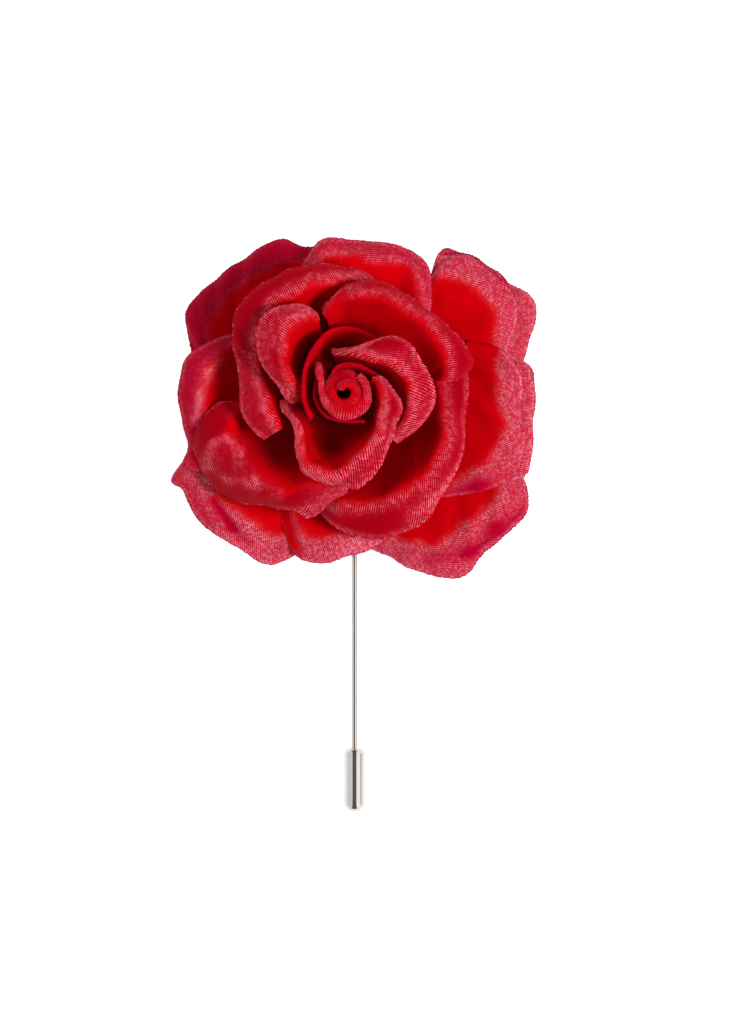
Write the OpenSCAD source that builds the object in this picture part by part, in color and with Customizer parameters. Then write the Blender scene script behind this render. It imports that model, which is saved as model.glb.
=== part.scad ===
// Flower lapel pin lying on its back: a cloth rose on a round base, a straight needle and a clutch.
// Millimetres. +Z runs from the table out through the flower's front, the needle runs along -Y.
// The origin is the centre of the base's flat back face.

/* [Flower] */
// Half width that the outer petals' reaches are shares of
flower_r = 34; // [34:0.5:40]
// Height that the petals' rims are shares of
flower_h = 30; // [30:0.5:34]
// Thickness of the petals' cloth
cloth_t = 1; // [0.6:0.05:1]
// Distance that the flower's heart lies left of the needle
heart_left = 1.8; // [0:0.1:2.4]
// Distance that the flower's heart lies above the base's centre
heart_up = 2.9; // [2:0.1:3.6]

/* [Base] */
// Radius of the round back plate
base_r = 13; // [12.8:0.1:16]
// Thickness of the round back plate
base_t = 4.2; // [3.8:0.1:4.2]
// Radius of the core's tip, inside the bud
core_tip_r = 1.2; // [0.8:0.1:1.3]

/* [Needle] */
// Radius of the needle
needle_r = 0.575; // [0.45:0.025:0.65]
// Distance from the base's centre to the clutch's mouth
needle_reach = 64.4; // [50:0.2:75]
// Length of the needle inside the clutch
needle_seat = 8.6; // [6:0.1:9.5]
// Length of the needle's point
point_l = 2.4; // [1.5:0.1:4]

/* [Clutch] */
// Radius of the clutch
clutch_r = 1.9; // [1.8:0.05:2.1]
// Length of the clutch
clutch_l = 12; // [11:0.5:15]

/* [Hidden] */

// Fineness of round metal and of the base
$fn = 64;

// Air between the needle and the holes that it sits in
needle_air = 0.05;
// Air between a petal's foot and the core
foot_air = 0.25;
// Depth of the needle's hole in the base, past the base's centre
needle_in = 6;
// Bevel of the plate's back and front edges
base_edge = 0.3;
// Radius of the needle's tip, which is blunt by a hair
tip_r = 0.08;
// Depth of the clutch's hole below the needle's tip
hole_spare = 0.5;
// Rounding of the clutch at its mouth and at its closed end
mouth_round = 1.1;
end_round = 1.7;

// Radius of the holes that the needle sits in
hole_r = needle_r + needle_air;

// The needle's axis lies as high as the clutch's radius, so that the clutch rests on the table
axis_h = clutch_r;

// Reaches of the three sizes of petal
outer_reach = flower_r;
inner_reach = flower_r / 2;
bud_reach = flower_r / 4;

// The core is a cone on the heart, from the plate up into the bud
core_foot_r = 0.27 * flower_r;
core_top = 0.61 * flower_h;
core_slope = atan2(core_foot_r - core_tip_r, core_top - base_t);

// Intervals up a petal's wall, and out along its lip
wall_steps = 4;
lip_steps = 3;
// Share of the lip where its curve is pulled level with the crest
lip_pull = 0.55;
// Share of the wall's height over which a petal widens from its foot
widening = 0.4;

// The roll in the bud's middle: bearing of its outer end, turns, radii, top and air above the core
roll_start = 70;
roll_turns = 1.25;
roll_outer_r = 0.33 * bud_reach;
roll_inner_r = 0.15 * bud_reach;
roll_top = 0.97 * flower_h;
roll_dip = 0.02 * flower_h;
roll_air = 0.3;
roll_steps = 20;
roll_levels = 3;

// Columns of a petal's rows, one row for each section across it, with the bearing rising:
// bearing round the heart in degrees, reach and height of its crest, reach and height of its edge
BEARING = 0;
CREST_R = 1;
CREST_Z = 2;
EDGE_R = 3;
EDGE_Z = 4;

// Columns of a petal's form: height of its foot at the first and the last row, how far out and up
// the belly pulls the wall, how round the crest is, width of the foot, and intervals across
FOOT_FIRST = 0;
FOOT_LAST = 1;
BELLY_OUT = 2;
BELLY_UP = 3;
CREST_ROUND = 4;
FOOT_WIDTH = 5;
STEPS = 6;

outer_petal_upper_left_rows = [
    [84, 0.65, 0.24, 0.75, 0.23],
    [96, 0.69, 0.25, 0.81, 0.23],
    [105, 0.74, 0.26, 0.84, 0.22],
    [113, 0.79, 0.27, 0.93, 0.21],
    [125, 0.81, 0.28, 0.93, 0.20],
    [138, 0.83, 0.28, 0.95, 0.20],
    [150, 0.84, 0.27, 0.99, 0.19],
    [158, 0.81, 0.26, 0.94, 0.19],
    [166, 0.76, 0.25, 0.86, 0.19],
    [178, 0.71, 0.24, 0.81, 0.20]
];
outer_petal_upper_left_form = [0.16, 0.16, 0.45, 0.02, 0.15, 0.80, 16];
outer_petal_upper_right_rows = [
    [-4, 0.76, 0.18, 0.85, 0.17],
    [3, 0.84, 0.19, 0.93, 0.17],
    [11, 0.91, 0.20, 1.01, 0.17],
    [17, 0.95, 0.22, 1.07, 0.19],
    [24, 1.01, 0.26, 1.16, 0.21],
    [28, 1.01, 0.27, 1.16, 0.22],
    [36, 0.94, 0.27, 1.08, 0.22],
    [45, 0.86, 0.26, 0.99, 0.22],
    [53, 0.70, 0.25, 0.79, 0.23],
    [60, 0.63, 0.24, 0.71, 0.23]
];
outer_petal_upper_right_form = [0.16, 0.16, 0.45, 0.02, 0.15, 0.80, 16];
outer_petal_right_rows = [
    [-38, 0.74, 0.29, 0.82, 0.27],
    [-32, 0.82, 0.30, 0.93, 0.28],
    [-25, 0.96, 0.31, 1.08, 0.26],
    [-19, 0.97, 0.30, 1.09, 0.25],
    [-12, 0.95, 0.30, 1.06, 0.25],
    [-5, 0.94, 0.30, 1.05, 0.25],
    [3, 0.94, 0.30, 1.05, 0.25],
    [8, 0.92, 0.29, 1.04, 0.25],
    [12, 0.87, 0.28, 0.97, 0.26],
    [18, 0.78, 0.27, 0.85, 0.26]
];
outer_petal_right_form = [0.20, 0.20, 0.45, 0.02, 0.15, 0.80, 16];
outer_petal_lower_right_rows = [
    [-90, 0.69, 0.22, 0.78, 0.19],
    [-78, 0.77, 0.24, 0.88, 0.19],
    [-71, 0.85, 0.25, 0.99, 0.19],
    [-63, 0.94, 0.26, 1.13, 0.19],
    [-57, 0.99, 0.27, 1.20, 0.19],
    [-48, 0.99, 0.27, 1.17, 0.20],
    [-39, 1.02, 0.26, 1.19, 0.20],
    [-32, 1.02, 0.24, 1.20, 0.19],
    [-25, 0.94, 0.22, 1.08, 0.18],
    [-14, 0.76, 0.19, 0.87, 0.17]
];
outer_petal_lower_right_form = [0.16, 0.16, 0.45, 0.02, 0.15, 0.80, 16];
outer_petal_lower_left_rows = [
    [187, 0.72, 0.23, 0.81, 0.20],
    [199, 0.81, 0.25, 0.91, 0.21],
    [206, 0.91, 0.26, 1.06, 0.21],
    [213, 0.89, 0.27, 1.04, 0.21],
    [222, 0.89, 0.27, 1.05, 0.21],
    [234, 0.89, 0.26, 1.04, 0.21],
    [244, 0.88, 0.25, 1.04, 0.21],
    [249, 0.82, 0.25, 0.99, 0.20],
    [254, 0.78, 0.23, 0.90, 0.20],
    [264, 0.69, 0.22, 0.78, 0.20]
];
outer_petal_lower_left_form = [0.16, 0.16, 0.45, 0.02, 0.15, 0.80, 16];
second_petal_top_rows = [
    [44, 0.59, 0.42, 0.66, 0.41],
    [50, 0.68, 0.44, 0.76, 0.41],
    [56, 0.75, 0.45, 0.84, 0.39],
    [64, 0.78, 0.44, 0.87, 0.38],
    [75, 0.76, 0.43, 0.85, 0.37],
    [86, 0.76, 0.42, 0.85, 0.36],
    [98, 0.76, 0.40, 0.85, 0.35],
    [106, 0.69, 0.38, 0.78, 0.35],
    [116, 0.57, 0.35, 0.66, 0.34]
];
second_petal_top_form = [0.25, 0.25, 0.55, 0.05, 0.13, 0.80, 14];
second_petal_upper_right_rows = [
    [6, 0.75, 0.34, 0.82, 0.33],
    [14, 0.84, 0.35, 0.92, 0.33],
    [22, 0.91, 0.37, 1.01, 0.33],
    [29, 0.96, 0.39, 1.08, 0.32],
    [36, 0.95, 0.39, 1.08, 0.31],
    [44, 0.91, 0.39, 1.05, 0.30],
    [51, 0.86, 0.37, 1.01, 0.30],
    [56, 0.78, 0.34, 0.91, 0.30],
    [64, 0.63, 0.30, 0.71, 0.29]
];
second_petal_upper_right_form = [0.24, 0.20, 0.55, 0.05, 0.13, 0.80, 14];
second_petal_right_rows = [
    [-42, 0.75, 0.41, 0.82, 0.39],
    [-33, 0.81, 0.42, 0.93, 0.38],
    [-26, 0.84, 0.43, 1.02, 0.38],
    [-20, 0.87, 0.44, 1.02, 0.39],
    [-12, 0.89, 0.45, 1.01, 0.39],
    [-4, 0.85, 0.45, 0.98, 0.39],
    [5, 0.86, 0.44, 0.98, 0.39],
    [14, 0.83, 0.43, 0.91, 0.40],
    [22, 0.74, 0.41, 0.78, 0.40]
];
second_petal_right_form = [0.28, 0.28, 0.55, 0.05, 0.13, 0.80, 14];
second_petal_bottom_rows = [
    [237, 0.65, 0.33, 0.72, 0.31],
    [247, 0.72, 0.35, 0.82, 0.31],
    [254, 0.81, 0.37, 0.94, 0.31],
    [262, 0.82, 0.38, 0.94, 0.31],
    [270, 0.79, 0.37, 0.89, 0.31],
    [278, 0.78, 0.36, 0.87, 0.31],
    [287, 0.74, 0.33, 0.82, 0.30],
    [297, 0.65, 0.31, 0.72, 0.30]
];
second_petal_bottom_form = [0.20, 0.20, 0.55, 0.05, 0.13, 0.80, 14];
second_petal_left_rows = [
    [150, 0.59, 0.34, 0.66, 0.33],
    [160, 0.71, 0.37, 0.81, 0.34],
    [166, 0.76, 0.40, 0.88, 0.34],
    [171, 0.79, 0.42, 0.91, 0.35],
    [180, 0.79, 0.44, 0.91, 0.35],
    [189, 0.79, 0.44, 0.90, 0.35],
    [198, 0.79, 0.42, 0.91, 0.34],
    [204, 0.84, 0.39, 0.96, 0.33],
    [209, 0.78, 0.36, 0.88, 0.32],
    [218, 0.69, 0.34, 0.78, 0.32]
];
second_petal_left_form = [0.20, 0.20, 0.55, 0.05, 0.13, 0.80, 14];
middle_petal_upper_left_rows = [
    [68, 0.54, 0.58, 0.59, 0.57],
    [78, 0.60, 0.63, 0.65, 0.59],
    [90, 0.62, 0.67, 0.69, 0.60],
    [105, 0.62, 0.69, 0.72, 0.60],
    [120, 0.62, 0.70, 0.74, 0.59],
    [133, 0.61, 0.69, 0.75, 0.58],
    [144, 0.58, 0.68, 0.74, 0.57],
    [152, 0.55, 0.66, 0.69, 0.58],
    [157, 0.52, 0.65, 0.63, 0.59]
];
middle_petal_upper_left_form = [0.31, 0.31, 0.70, 0.12, 0.12, 0.80, 15];
middle_petal_left_rows = [
    [140, 0.55, 0.46, 0.62, 0.44],
    [148, 0.55, 0.49, 0.68, 0.44],
    [155, 0.54, 0.53, 0.68, 0.45],
    [161, 0.51, 0.58, 0.64, 0.50],
    [168, 0.48, 0.64, 0.59, 0.56],
    [179, 0.44, 0.68, 0.57, 0.59],
    [190, 0.42, 0.69, 0.57, 0.60],
    [200, 0.41, 0.67, 0.55, 0.59],
    [209, 0.41, 0.64, 0.50, 0.59]
];
middle_petal_left_form = [0.26, 0.29, 0.72, 0.12, 0.12, 0.85, 15];
middle_petal_lower_left_rows = [
    [192, 0.66, 0.51, 0.72, 0.50],
    [200, 0.72, 0.55, 0.80, 0.50],
    [208, 0.67, 0.58, 0.85, 0.46],
    [217, 0.65, 0.59, 0.83, 0.45],
    [228, 0.65, 0.60, 0.75, 0.49],
    [238, 0.64, 0.62, 0.70, 0.54],
    [247, 0.56, 0.64, 0.69, 0.55],
    [254, 0.52, 0.65, 0.70, 0.55],
    [262, 0.50, 0.65, 0.59, 0.59],
    [271, 0.49, 0.62, 0.54, 0.59]
];
middle_petal_lower_left_form = [0.24, 0.33, 0.75, 0.05, 0.13, 0.80, 16];
middle_petal_lower_right_rows = [
    [259, 0.58, 0.47, 0.66, 0.43],
    [269, 0.61, 0.53, 0.75, 0.44],
    [280, 0.62, 0.58, 0.81, 0.46],
    [291, 0.63, 0.62, 0.82, 0.49],
    [302, 0.63, 0.64, 0.83, 0.50],
    [312, 0.64, 0.66, 0.77, 0.53],
    [324, 0.62, 0.67, 0.74, 0.55],
    [336, 0.61, 0.67, 0.71, 0.56],
    [348, 0.56, 0.65, 0.67, 0.56],
    [359, 0.54, 0.63, 0.67, 0.54],
    [369, 0.53, 0.60, 0.68, 0.51]
];
middle_petal_lower_right_form = [0.29, 0.34, 0.70, 0.12, 0.12, 0.80, 16];
middle_petal_top_rows = [
    [7, 0.55, 0.73, 0.61, 0.68],
    [13, 0.59, 0.75, 0.72, 0.66],
    [20, 0.59, 0.77, 0.70, 0.68],
    [31, 0.59, 0.78, 0.67, 0.70],
    [44, 0.58, 0.79, 0.64, 0.71],
    [57, 0.56, 0.79, 0.62, 0.71],
    [70, 0.56, 0.79, 0.63, 0.71],
    [82, 0.54, 0.79, 0.61, 0.72],
    [91, 0.53, 0.77, 0.56, 0.73],
    [99, 0.48, 0.75, 0.51, 0.73],
    [104, 0.45, 0.71, 0.48, 0.70]
];
middle_petal_top_form = [0.38, 0.35, 0.66, 0.15, 0.13, 0.82, 16];
inner_petal_left_rows = [
    [110, 0.85, 0.73, 0.92, 0.71],
    [116, 0.93, 0.78, 1.05, 0.74],
    [124, 0.95, 0.81, 1.14, 0.74],
    [134, 0.91, 0.83, 1.21, 0.74],
    [144, 0.82, 0.84, 1.18, 0.74],
    [153, 0.75, 0.85, 1.05, 0.76],
    [162, 0.65, 0.85, 0.92, 0.77],
    [172, 0.56, 0.84, 0.74, 0.79],
    [182, 0.54, 0.82, 0.65, 0.79],
    [190, 0.54, 0.78, 0.58, 0.77]
];
inner_petal_left_form = [0.37, 0.37, 0.66, 0.25, 0.15, 0.85, 16];
inner_petal_right_rows = [
    [-43, 0.71, 0.76, 0.78, 0.74],
    [-34, 0.71, 0.79, 0.83, 0.74],
    [-22, 0.73, 0.82, 0.89, 0.75],
    [-10, 0.74, 0.85, 0.96, 0.76],
    [0, 0.74, 0.88, 0.98, 0.79],
    [12, 0.71, 0.89, 0.93, 0.81],
    [25, 0.64, 0.91, 0.89, 0.82],
    [38, 0.55, 0.91, 0.87, 0.82],
    [50, 0.48, 0.91, 0.79, 0.83],
    [64, 0.45, 0.90, 0.58, 0.86],
    [78, 0.44, 0.87, 0.49, 0.85],
    [92, 0.44, 0.82, 0.47, 0.81],
    [104, 0.46, 0.74, 0.49, 0.73]
];
inner_petal_right_form = [0.39, 0.47, 0.66, 0.25, 0.15, 0.85, 18];
inner_petal_bottom_rows = [
    [188, 0.67, 0.63, 0.71, 0.62],
    [198, 0.65, 0.68, 0.70, 0.67],
    [210, 0.62, 0.73, 0.66, 0.72],
    [222, 0.66, 0.76, 0.71, 0.75],
    [233, 0.79, 0.78, 0.85, 0.76],
    [245, 0.90, 0.79, 0.97, 0.75],
    [256, 0.91, 0.80, 1.00, 0.75],
    [267, 0.88, 0.81, 0.98, 0.75],
    [277, 0.76, 0.83, 1.05, 0.75],
    [286, 0.68, 0.85, 0.98, 0.76],
    [298, 0.62, 0.86, 0.85, 0.78],
    [314, 0.55, 0.88, 0.72, 0.81],
    [330, 0.45, 0.90, 0.66, 0.87],
    [345, 0.42, 0.91, 0.65, 0.88],
    [360, 0.40, 0.91, 0.54, 0.87],
    [374, 0.38, 0.91, 0.47, 0.89],
    [385, 0.35, 0.89, 0.41, 0.88]
];
inner_petal_bottom_form = [0.33, 0.51, 0.74, 0.15, 0.13, 0.85, 24];
bud_wrap_outer_rows = [
    [62, 1.41, 0.56, 1.46, 0.55],
    [78, 1.45, 0.61, 1.51, 0.60],
    [94, 1.46, 0.66, 1.52, 0.65],
    [108, 1.40, 0.72, 1.46, 0.71],
    [120, 1.27, 0.80, 1.33, 0.79],
    [133, 1.15, 0.85, 1.20, 0.84],
    [148, 1.05, 0.88, 1.09, 0.87],
    [165, 0.96, 0.89, 1.00, 0.88],
    [185, 0.94, 0.89, 0.98, 0.88],
    [205, 0.94, 0.87, 0.98, 0.86],
    [216, 0.96, 0.83, 1.00, 0.82]
];
bud_wrap_outer_form = [0.40, 0.43, 0.80, 0.35, 0.09, 0.90, 14];
bud_wrap_second_rows = [
    [154, 0.71, 0.84, 0.73, 0.83],
    [168, 0.68, 0.87, 0.71, 0.86],
    [186, 0.68, 0.89, 0.71, 0.88],
    [210, 0.68, 0.89, 0.71, 0.88],
    [232, 0.68, 0.89, 0.72, 0.88],
    [252, 0.66, 0.88, 0.69, 0.87],
    [272, 0.66, 0.88, 0.69, 0.87],
    [290, 0.71, 0.87, 0.76, 0.86],
    [303, 0.78, 0.85, 0.84, 0.84]
];
bud_wrap_second_form = [0.47, 0.49, 0.80, 0.35, 0.09, 0.90, 12];
bud_wrap_third_rows = [
    [132, 0.84, 0.82, 0.86, 0.81],
    [142, 0.71, 0.88, 0.73, 0.87],
    [156, 0.56, 0.92, 0.59, 0.91],
    [172, 0.51, 0.94, 0.53, 0.93],
    [195, 0.48, 0.95, 0.51, 0.94],
    [225, 0.47, 0.96, 0.51, 0.95],
    [255, 0.48, 0.96, 0.54, 0.94],
    [285, 0.51, 0.96, 0.58, 0.94],
    [312, 0.53, 0.95, 0.61, 0.93],
    [335, 0.53, 0.95, 0.60, 0.93],
    [358, 0.51, 0.95, 0.55, 0.94],
    [385, 0.48, 0.95, 0.51, 0.94],
    [408, 0.48, 0.93, 0.51, 0.92]
];
bud_wrap_third_form = [0.54, 0.57, 0.72, 0.40, 0.09, 0.90, 20];
bud_wrap_inner_rows = [
    [26, 0.85, 0.81, 0.87, 0.80],
    [36, 0.79, 0.87, 0.81, 0.86],
    [48, 0.73, 0.91, 0.76, 0.90],
    [66, 0.68, 0.94, 0.73, 0.93],
    [88, 0.64, 0.95, 0.68, 0.94],
    [110, 0.58, 0.94, 0.62, 0.93],
    [122, 0.49, 0.92, 0.52, 0.91],
    [130, 0.45, 0.89, 0.46, 0.88]
];
bud_wrap_inner_form = [0.48, 0.56, 0.68, 0.40, 0.09, 0.90, 10];

// Point between two others
function mix(a, b, t) = a + (b - a) * t;

// Smooth step from 0 to 1
function ease(t) = t * t * (3 - 2 * t);

// Curve through a row's neighbours, at f between p1 and p2
function spline(p0, p1, p2, p3, f) =
    0.5 * (2 * p1 + (p2 - p0) * f + (2 * p0 - 5 * p1 + 4 * p2 - p3) * f * f
        + (3 * p1 - p0 - 3 * p2 + p3) * f * f * f);

// Row at place t along the rows, where the rows stand at 0, 1, 2 and so on
function row_at(rows, t) =
    let (last = len(rows) - 1,
        i = min(floor(t), last - 1),
        before = i == 0 ? 2 * rows[0] - rows[1] : rows[i - 1],
        after = i == last - 1 ? 2 * rows[last] - rows[last - 1] : rows[i + 2])
    spline(before, rows[i], rows[i + 1], after, t - i);

// Four-point and three-point curves for the wall and the lip
function wall_curve(a, b, c, d, v) =
    pow(1 - v, 3) * a + 3 * pow(1 - v, 2) * v * b + 3 * (1 - v) * v * v * c + pow(v, 3) * d;
function lip_curve(a, b, c, v) = pow(1 - v, 2) * a + 2 * (1 - v) * v * b + v * v * c;

// Radius of the core at height z, and of the outer face of a petal's foot seated there
function core_r(z) = mix(core_foot_r, core_tip_r, (z - base_t) / (core_top - base_t));
function foot_r(z) = core_r(z) + (cloth_t + foot_air) / cos(core_slope);

// Profile of a petal at one row, as radius and height: up the wall, then out along the lip
function profile(row, form, foot, reach) =
    let (a = [foot_r(foot), foot],
        crest = [row[CREST_R] * reach, row[CREST_Z] * flower_h],
        edge = [row[EDGE_R] * reach, row[EDGE_Z] * flower_h],
        belly = [mix(a[0], crest[0], form[BELLY_OUT]), mix(a[1], crest[1], form[BELLY_UP])],
        shoulder = [mix(crest[0], a[0], form[CREST_ROUND]), crest[1]],
        brow = [mix(crest[0], edge[0], lip_pull), crest[1]])
    concat(
        [for (j = [0 : wall_steps]) wall_curve(a, belly, shoulder, crest, j / wall_steps)],
        [for (j = [1 : lip_steps]) lip_curve(crest, brow, edge, j / lip_steps)]);

// Share of a petal's full width at step j up its profile
function width_share(form, j) =
    mix(form[FOOT_WIDTH], 1, ease(min(1, j / wall_steps / widening)));

// Outer face of a petal, one list of points for each step across it
function petal_grid(rows, form, reach) =
    let (last = len(rows) - 1, centre = (rows[0][BEARING] + rows[last][BEARING]) / 2)
    [for (i = [0 : form[STEPS]])
        let (u = i / form[STEPS],
            row = row_at(rows, u * last),
            foot = mix(form[FOOT_FIRST], form[FOOT_LAST], u) * flower_h,
            line = profile(row, form, foot, reach))
        [for (j = [0 : len(line) - 1])
            let (bearing = centre + (row[BEARING] - centre) * width_share(form, j))
            [line[j][0] * cos(bearing), line[j][0] * sin(bearing), line[j][1]]]];

// Outer face of the roll, a spiral wall whose top dips towards its outer end
function roll_grid() =
    [for (i = [0 : roll_steps])
        let (u = i / roll_steps,
            r = mix(roll_outer_r, roll_inner_r, u),
            bearing = roll_start + 360 * roll_turns * u,
            top = roll_top - roll_dip * (1 - u))
        [for (j = [0 : roll_levels])
            [r * cos(bearing), r * sin(bearing), mix(core_top + roll_air, top, j / roll_levels)]]];

// Square direction off a grid of points at i, j
function grid_normal(grid, i, j) =
    let (m = len(grid) - 1,
        n = len(grid[0]) - 1,
        du = grid[min(i + 1, m)][j] - grid[max(i - 1, 0)][j],
        dv = grid[i][min(j + 1, n)] - grid[i][max(j - 1, 0)],
        c = cross(du, dv))
    c / norm(c);

// Closed sheet of cloth whose outer face is a grid of points, with its thickness inwards
module sheet(grid) {
    m = len(grid) - 1;
    n = len(grid[0]) - 1;
    back = (m + 1) * (n + 1);
    face = [for (i = [0 : m]) for (j = [0 : n]) grid[i][j]];
    rear = [for (i = [0 : m]) for (j = [0 : n]) grid[i][j] - grid_normal(grid, i, j) * cloth_t];
    rim = concat(
        [for (i = [0 : m - 1]) i * (n + 1)],
        [for (j = [0 : n - 1]) m * (n + 1) + j],
        [for (i = [m : -1 : 1]) i * (n + 1) + n],
        [for (j = [n : -1 : 1]) j]);
    polyhedron(concat(face, rear), concat(
        [for (i = [0 : m - 1]) for (j = [0 : n - 1])
            let (k = i * (n + 1) + j)
            each [[k, k + 1, k + n + 2], [k, k + n + 2, k + n + 1]]],
        [for (i = [0 : m - 1]) for (j = [0 : n - 1])
            let (k = back + i * (n + 1) + j)
            each [[k, k + n + 2, k + 1], [k, k + n + 1, k + n + 2]]],
        [for (i = [0 : len(rim) - 1])
            let (p = rim[i], q = rim[(i + 1) % len(rim)])
            each [[p, q, q + back], [p, q + back, p + back]]]));
}

// Cloth placed round the flower's heart
module at_heart() {
    translate([-heart_left, heart_up, 0]) children();
}

module petal(rows, form, reach) {
    at_heart() sheet(petal_grid(rows, form, reach));
}

// Half outline of the back plate, with its edges bevelled
module plate_outline() {
    polygon([[0, 0], [base_r - base_edge, 0], [base_r, base_edge], [base_r, base_t - base_edge],
        [base_r - base_edge, base_t], [0, base_t]]);
}

// Half outline of the core, a cone on a foot that is sunk into the plate
module core_outline() {
    polygon([[0, axis_h], [core_foot_r, axis_h], [core_foot_r, base_t], [core_tip_r, core_top],
        [0, core_top]]);
}

// Turns a shape made along +Z so that it runs along -Y on the needle's axis
module along_needle() {
    translate([0, 0, axis_h]) rotate([90, 0, 0]) children();
}

// Round back plate with the core on it, drilled for the needle's blind seat
module flower_base() {
    color("darkred") difference() {
        union() {
            rotate_extrude() plate_outline();
            at_heart() rotate_extrude() core_outline();
        }
        along_needle() translate([0, 0, -needle_in]) cylinder(h = needle_in + 2 * base_r, r = hole_r);
    }
}

module outer_petal_upper_left() {
    color("crimson") petal(outer_petal_upper_left_rows, outer_petal_upper_left_form, outer_reach);
}

module outer_petal_upper_right() {
    color("crimson") petal(outer_petal_upper_right_rows, outer_petal_upper_right_form, outer_reach);
}

module outer_petal_right() {
    color("crimson") petal(outer_petal_right_rows, outer_petal_right_form, outer_reach);
}

module outer_petal_lower_right() {
    color("crimson") petal(outer_petal_lower_right_rows, outer_petal_lower_right_form, outer_reach);
}

module outer_petal_lower_left() {
    color("crimson") petal(outer_petal_lower_left_rows, outer_petal_lower_left_form, outer_reach);
}

module second_petal_top() {
    color("red") petal(second_petal_top_rows, second_petal_top_form, outer_reach);
}

module second_petal_upper_right() {
    color("red") petal(second_petal_upper_right_rows, second_petal_upper_right_form, outer_reach);
}

module second_petal_right() {
    color("red") petal(second_petal_right_rows, second_petal_right_form, outer_reach);
}

module second_petal_bottom() {
    color("red") petal(second_petal_bottom_rows, second_petal_bottom_form, outer_reach);
}

module second_petal_left() {
    color("red") petal(second_petal_left_rows, second_petal_left_form, outer_reach);
}

module middle_petal_upper_left() {
    color("crimson") petal(middle_petal_upper_left_rows, middle_petal_upper_left_form, outer_reach);
}

module middle_petal_left() {
    color("crimson") petal(middle_petal_left_rows, middle_petal_left_form, outer_reach);
}

module middle_petal_lower_left() {
    color("crimson") petal(middle_petal_lower_left_rows, middle_petal_lower_left_form, outer_reach);
}

module middle_petal_lower_right() {
    color("crimson") petal(middle_petal_lower_right_rows, middle_petal_lower_right_form, outer_reach);
}

module middle_petal_top() {
    color("crimson") petal(middle_petal_top_rows, middle_petal_top_form, outer_reach);
}

module inner_petal_left() {
    color("red") petal(inner_petal_left_rows, inner_petal_left_form, inner_reach);
}

module inner_petal_right() {
    color("red") petal(inner_petal_right_rows, inner_petal_right_form, inner_reach);
}

module inner_petal_bottom() {
    color("red") petal(inner_petal_bottom_rows, inner_petal_bottom_form, inner_reach);
}

module bud_wrap_outer() {
    color("firebrick") petal(bud_wrap_outer_rows, bud_wrap_outer_form, bud_reach);
}

module bud_wrap_second() {
    color("firebrick") petal(bud_wrap_second_rows, bud_wrap_second_form, bud_reach);
}

module bud_wrap_third() {
    color("firebrick") petal(bud_wrap_third_rows, bud_wrap_third_form, bud_reach);
}

module bud_wrap_inner() {
    color("firebrick") petal(bud_wrap_inner_rows, bud_wrap_inner_form, bud_reach);
}

module bud_roll() {
    color("firebrick") at_heart() sheet(roll_grid());
}

// Straight needle from its seat in the base to its point inside the clutch
module needle() {
    shaft_start = needle_air - needle_in;
    shaft_end = needle_reach + needle_seat - point_l;
    color("silver") along_needle() union() {
        translate([0, 0, shaft_start]) cylinder(h = shaft_end - shaft_start, r = needle_r);
        translate([0, 0, shaft_end]) cylinder(h = point_l, r1 = needle_r, r2 = tip_r);
    }
}

// Quarter of a disc, for a rounded corner
module quarter_round(r) {
    intersection() {
        circle(r = r);
        square(r);
    }
}

// Half outline of the clutch, from its mouth at 0 to its closed end
module clutch_outline() {
    translate([0, mouth_round]) square([clutch_r, clutch_l - mouth_round - end_round]);
    square([clutch_r - mouth_round, mouth_round]);
    translate([clutch_r - mouth_round, mouth_round]) mirror([0, 1]) quarter_round(mouth_round);
    translate([0, clutch_l - end_round]) square([clutch_r - end_round, end_round]);
    translate([clutch_r - end_round, clutch_l - end_round]) quarter_round(end_round);
}

// Clutch with its blind hole, pushed over the needle's point
module clutch() {
    color("silver") along_needle() translate([0, 0, needle_reach]) difference() {
        rotate_extrude() clutch_outline();
        translate([0, 0, -needle_air]) cylinder(h = needle_air + needle_seat + hole_spare, r = hole_r);
    }
}

flower_base();
outer_petal_upper_left();
outer_petal_upper_right();
outer_petal_right();
outer_petal_lower_right();
outer_petal_lower_left();
second_petal_top();
second_petal_upper_right();
second_petal_right();
second_petal_bottom();
second_petal_left();
middle_petal_upper_left();
middle_petal_left();
middle_petal_lower_left();
middle_petal_lower_right();
middle_petal_top();
inner_petal_left();
inner_petal_right();
inner_petal_bottom();
bud_wrap_outer();
bud_wrap_second();
bud_wrap_third();
bud_wrap_inner();
bud_roll();
needle();
clutch();
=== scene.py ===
# Flower lapel pin: a rose of ribbed satin on a felt base, with a steel needle and clutch.
# Lengths are millimetres until a mesh is filled. +Z comes out of the flower's front.

import math
import bmesh
import bpy
import numpy as np
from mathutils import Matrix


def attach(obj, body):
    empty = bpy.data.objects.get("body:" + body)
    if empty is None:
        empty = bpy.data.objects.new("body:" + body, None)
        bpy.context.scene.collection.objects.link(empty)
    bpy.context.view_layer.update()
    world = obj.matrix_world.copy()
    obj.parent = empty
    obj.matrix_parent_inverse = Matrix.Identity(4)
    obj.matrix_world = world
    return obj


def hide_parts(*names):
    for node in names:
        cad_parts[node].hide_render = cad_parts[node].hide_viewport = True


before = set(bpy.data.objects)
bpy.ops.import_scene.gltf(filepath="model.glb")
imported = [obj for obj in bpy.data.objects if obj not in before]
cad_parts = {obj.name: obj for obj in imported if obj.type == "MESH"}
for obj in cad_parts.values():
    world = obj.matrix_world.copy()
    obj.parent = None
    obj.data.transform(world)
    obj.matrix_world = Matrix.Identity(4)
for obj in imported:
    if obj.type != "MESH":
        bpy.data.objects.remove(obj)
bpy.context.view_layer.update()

flowerR = 34          # half width that the petals' reaches are shares of
flowerH = 30          # height that the rims are shares of
heartX, heartY = -1.8, 2.9    # middle of the rose, left of and above the base's centre
solidT = 1.0          # thickness of the plain solid that a petal's cloth lies inside
clothT = 0.3          # thickness of the satin
needleZ = 1.9         # height of the needle's axis over the table
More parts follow.
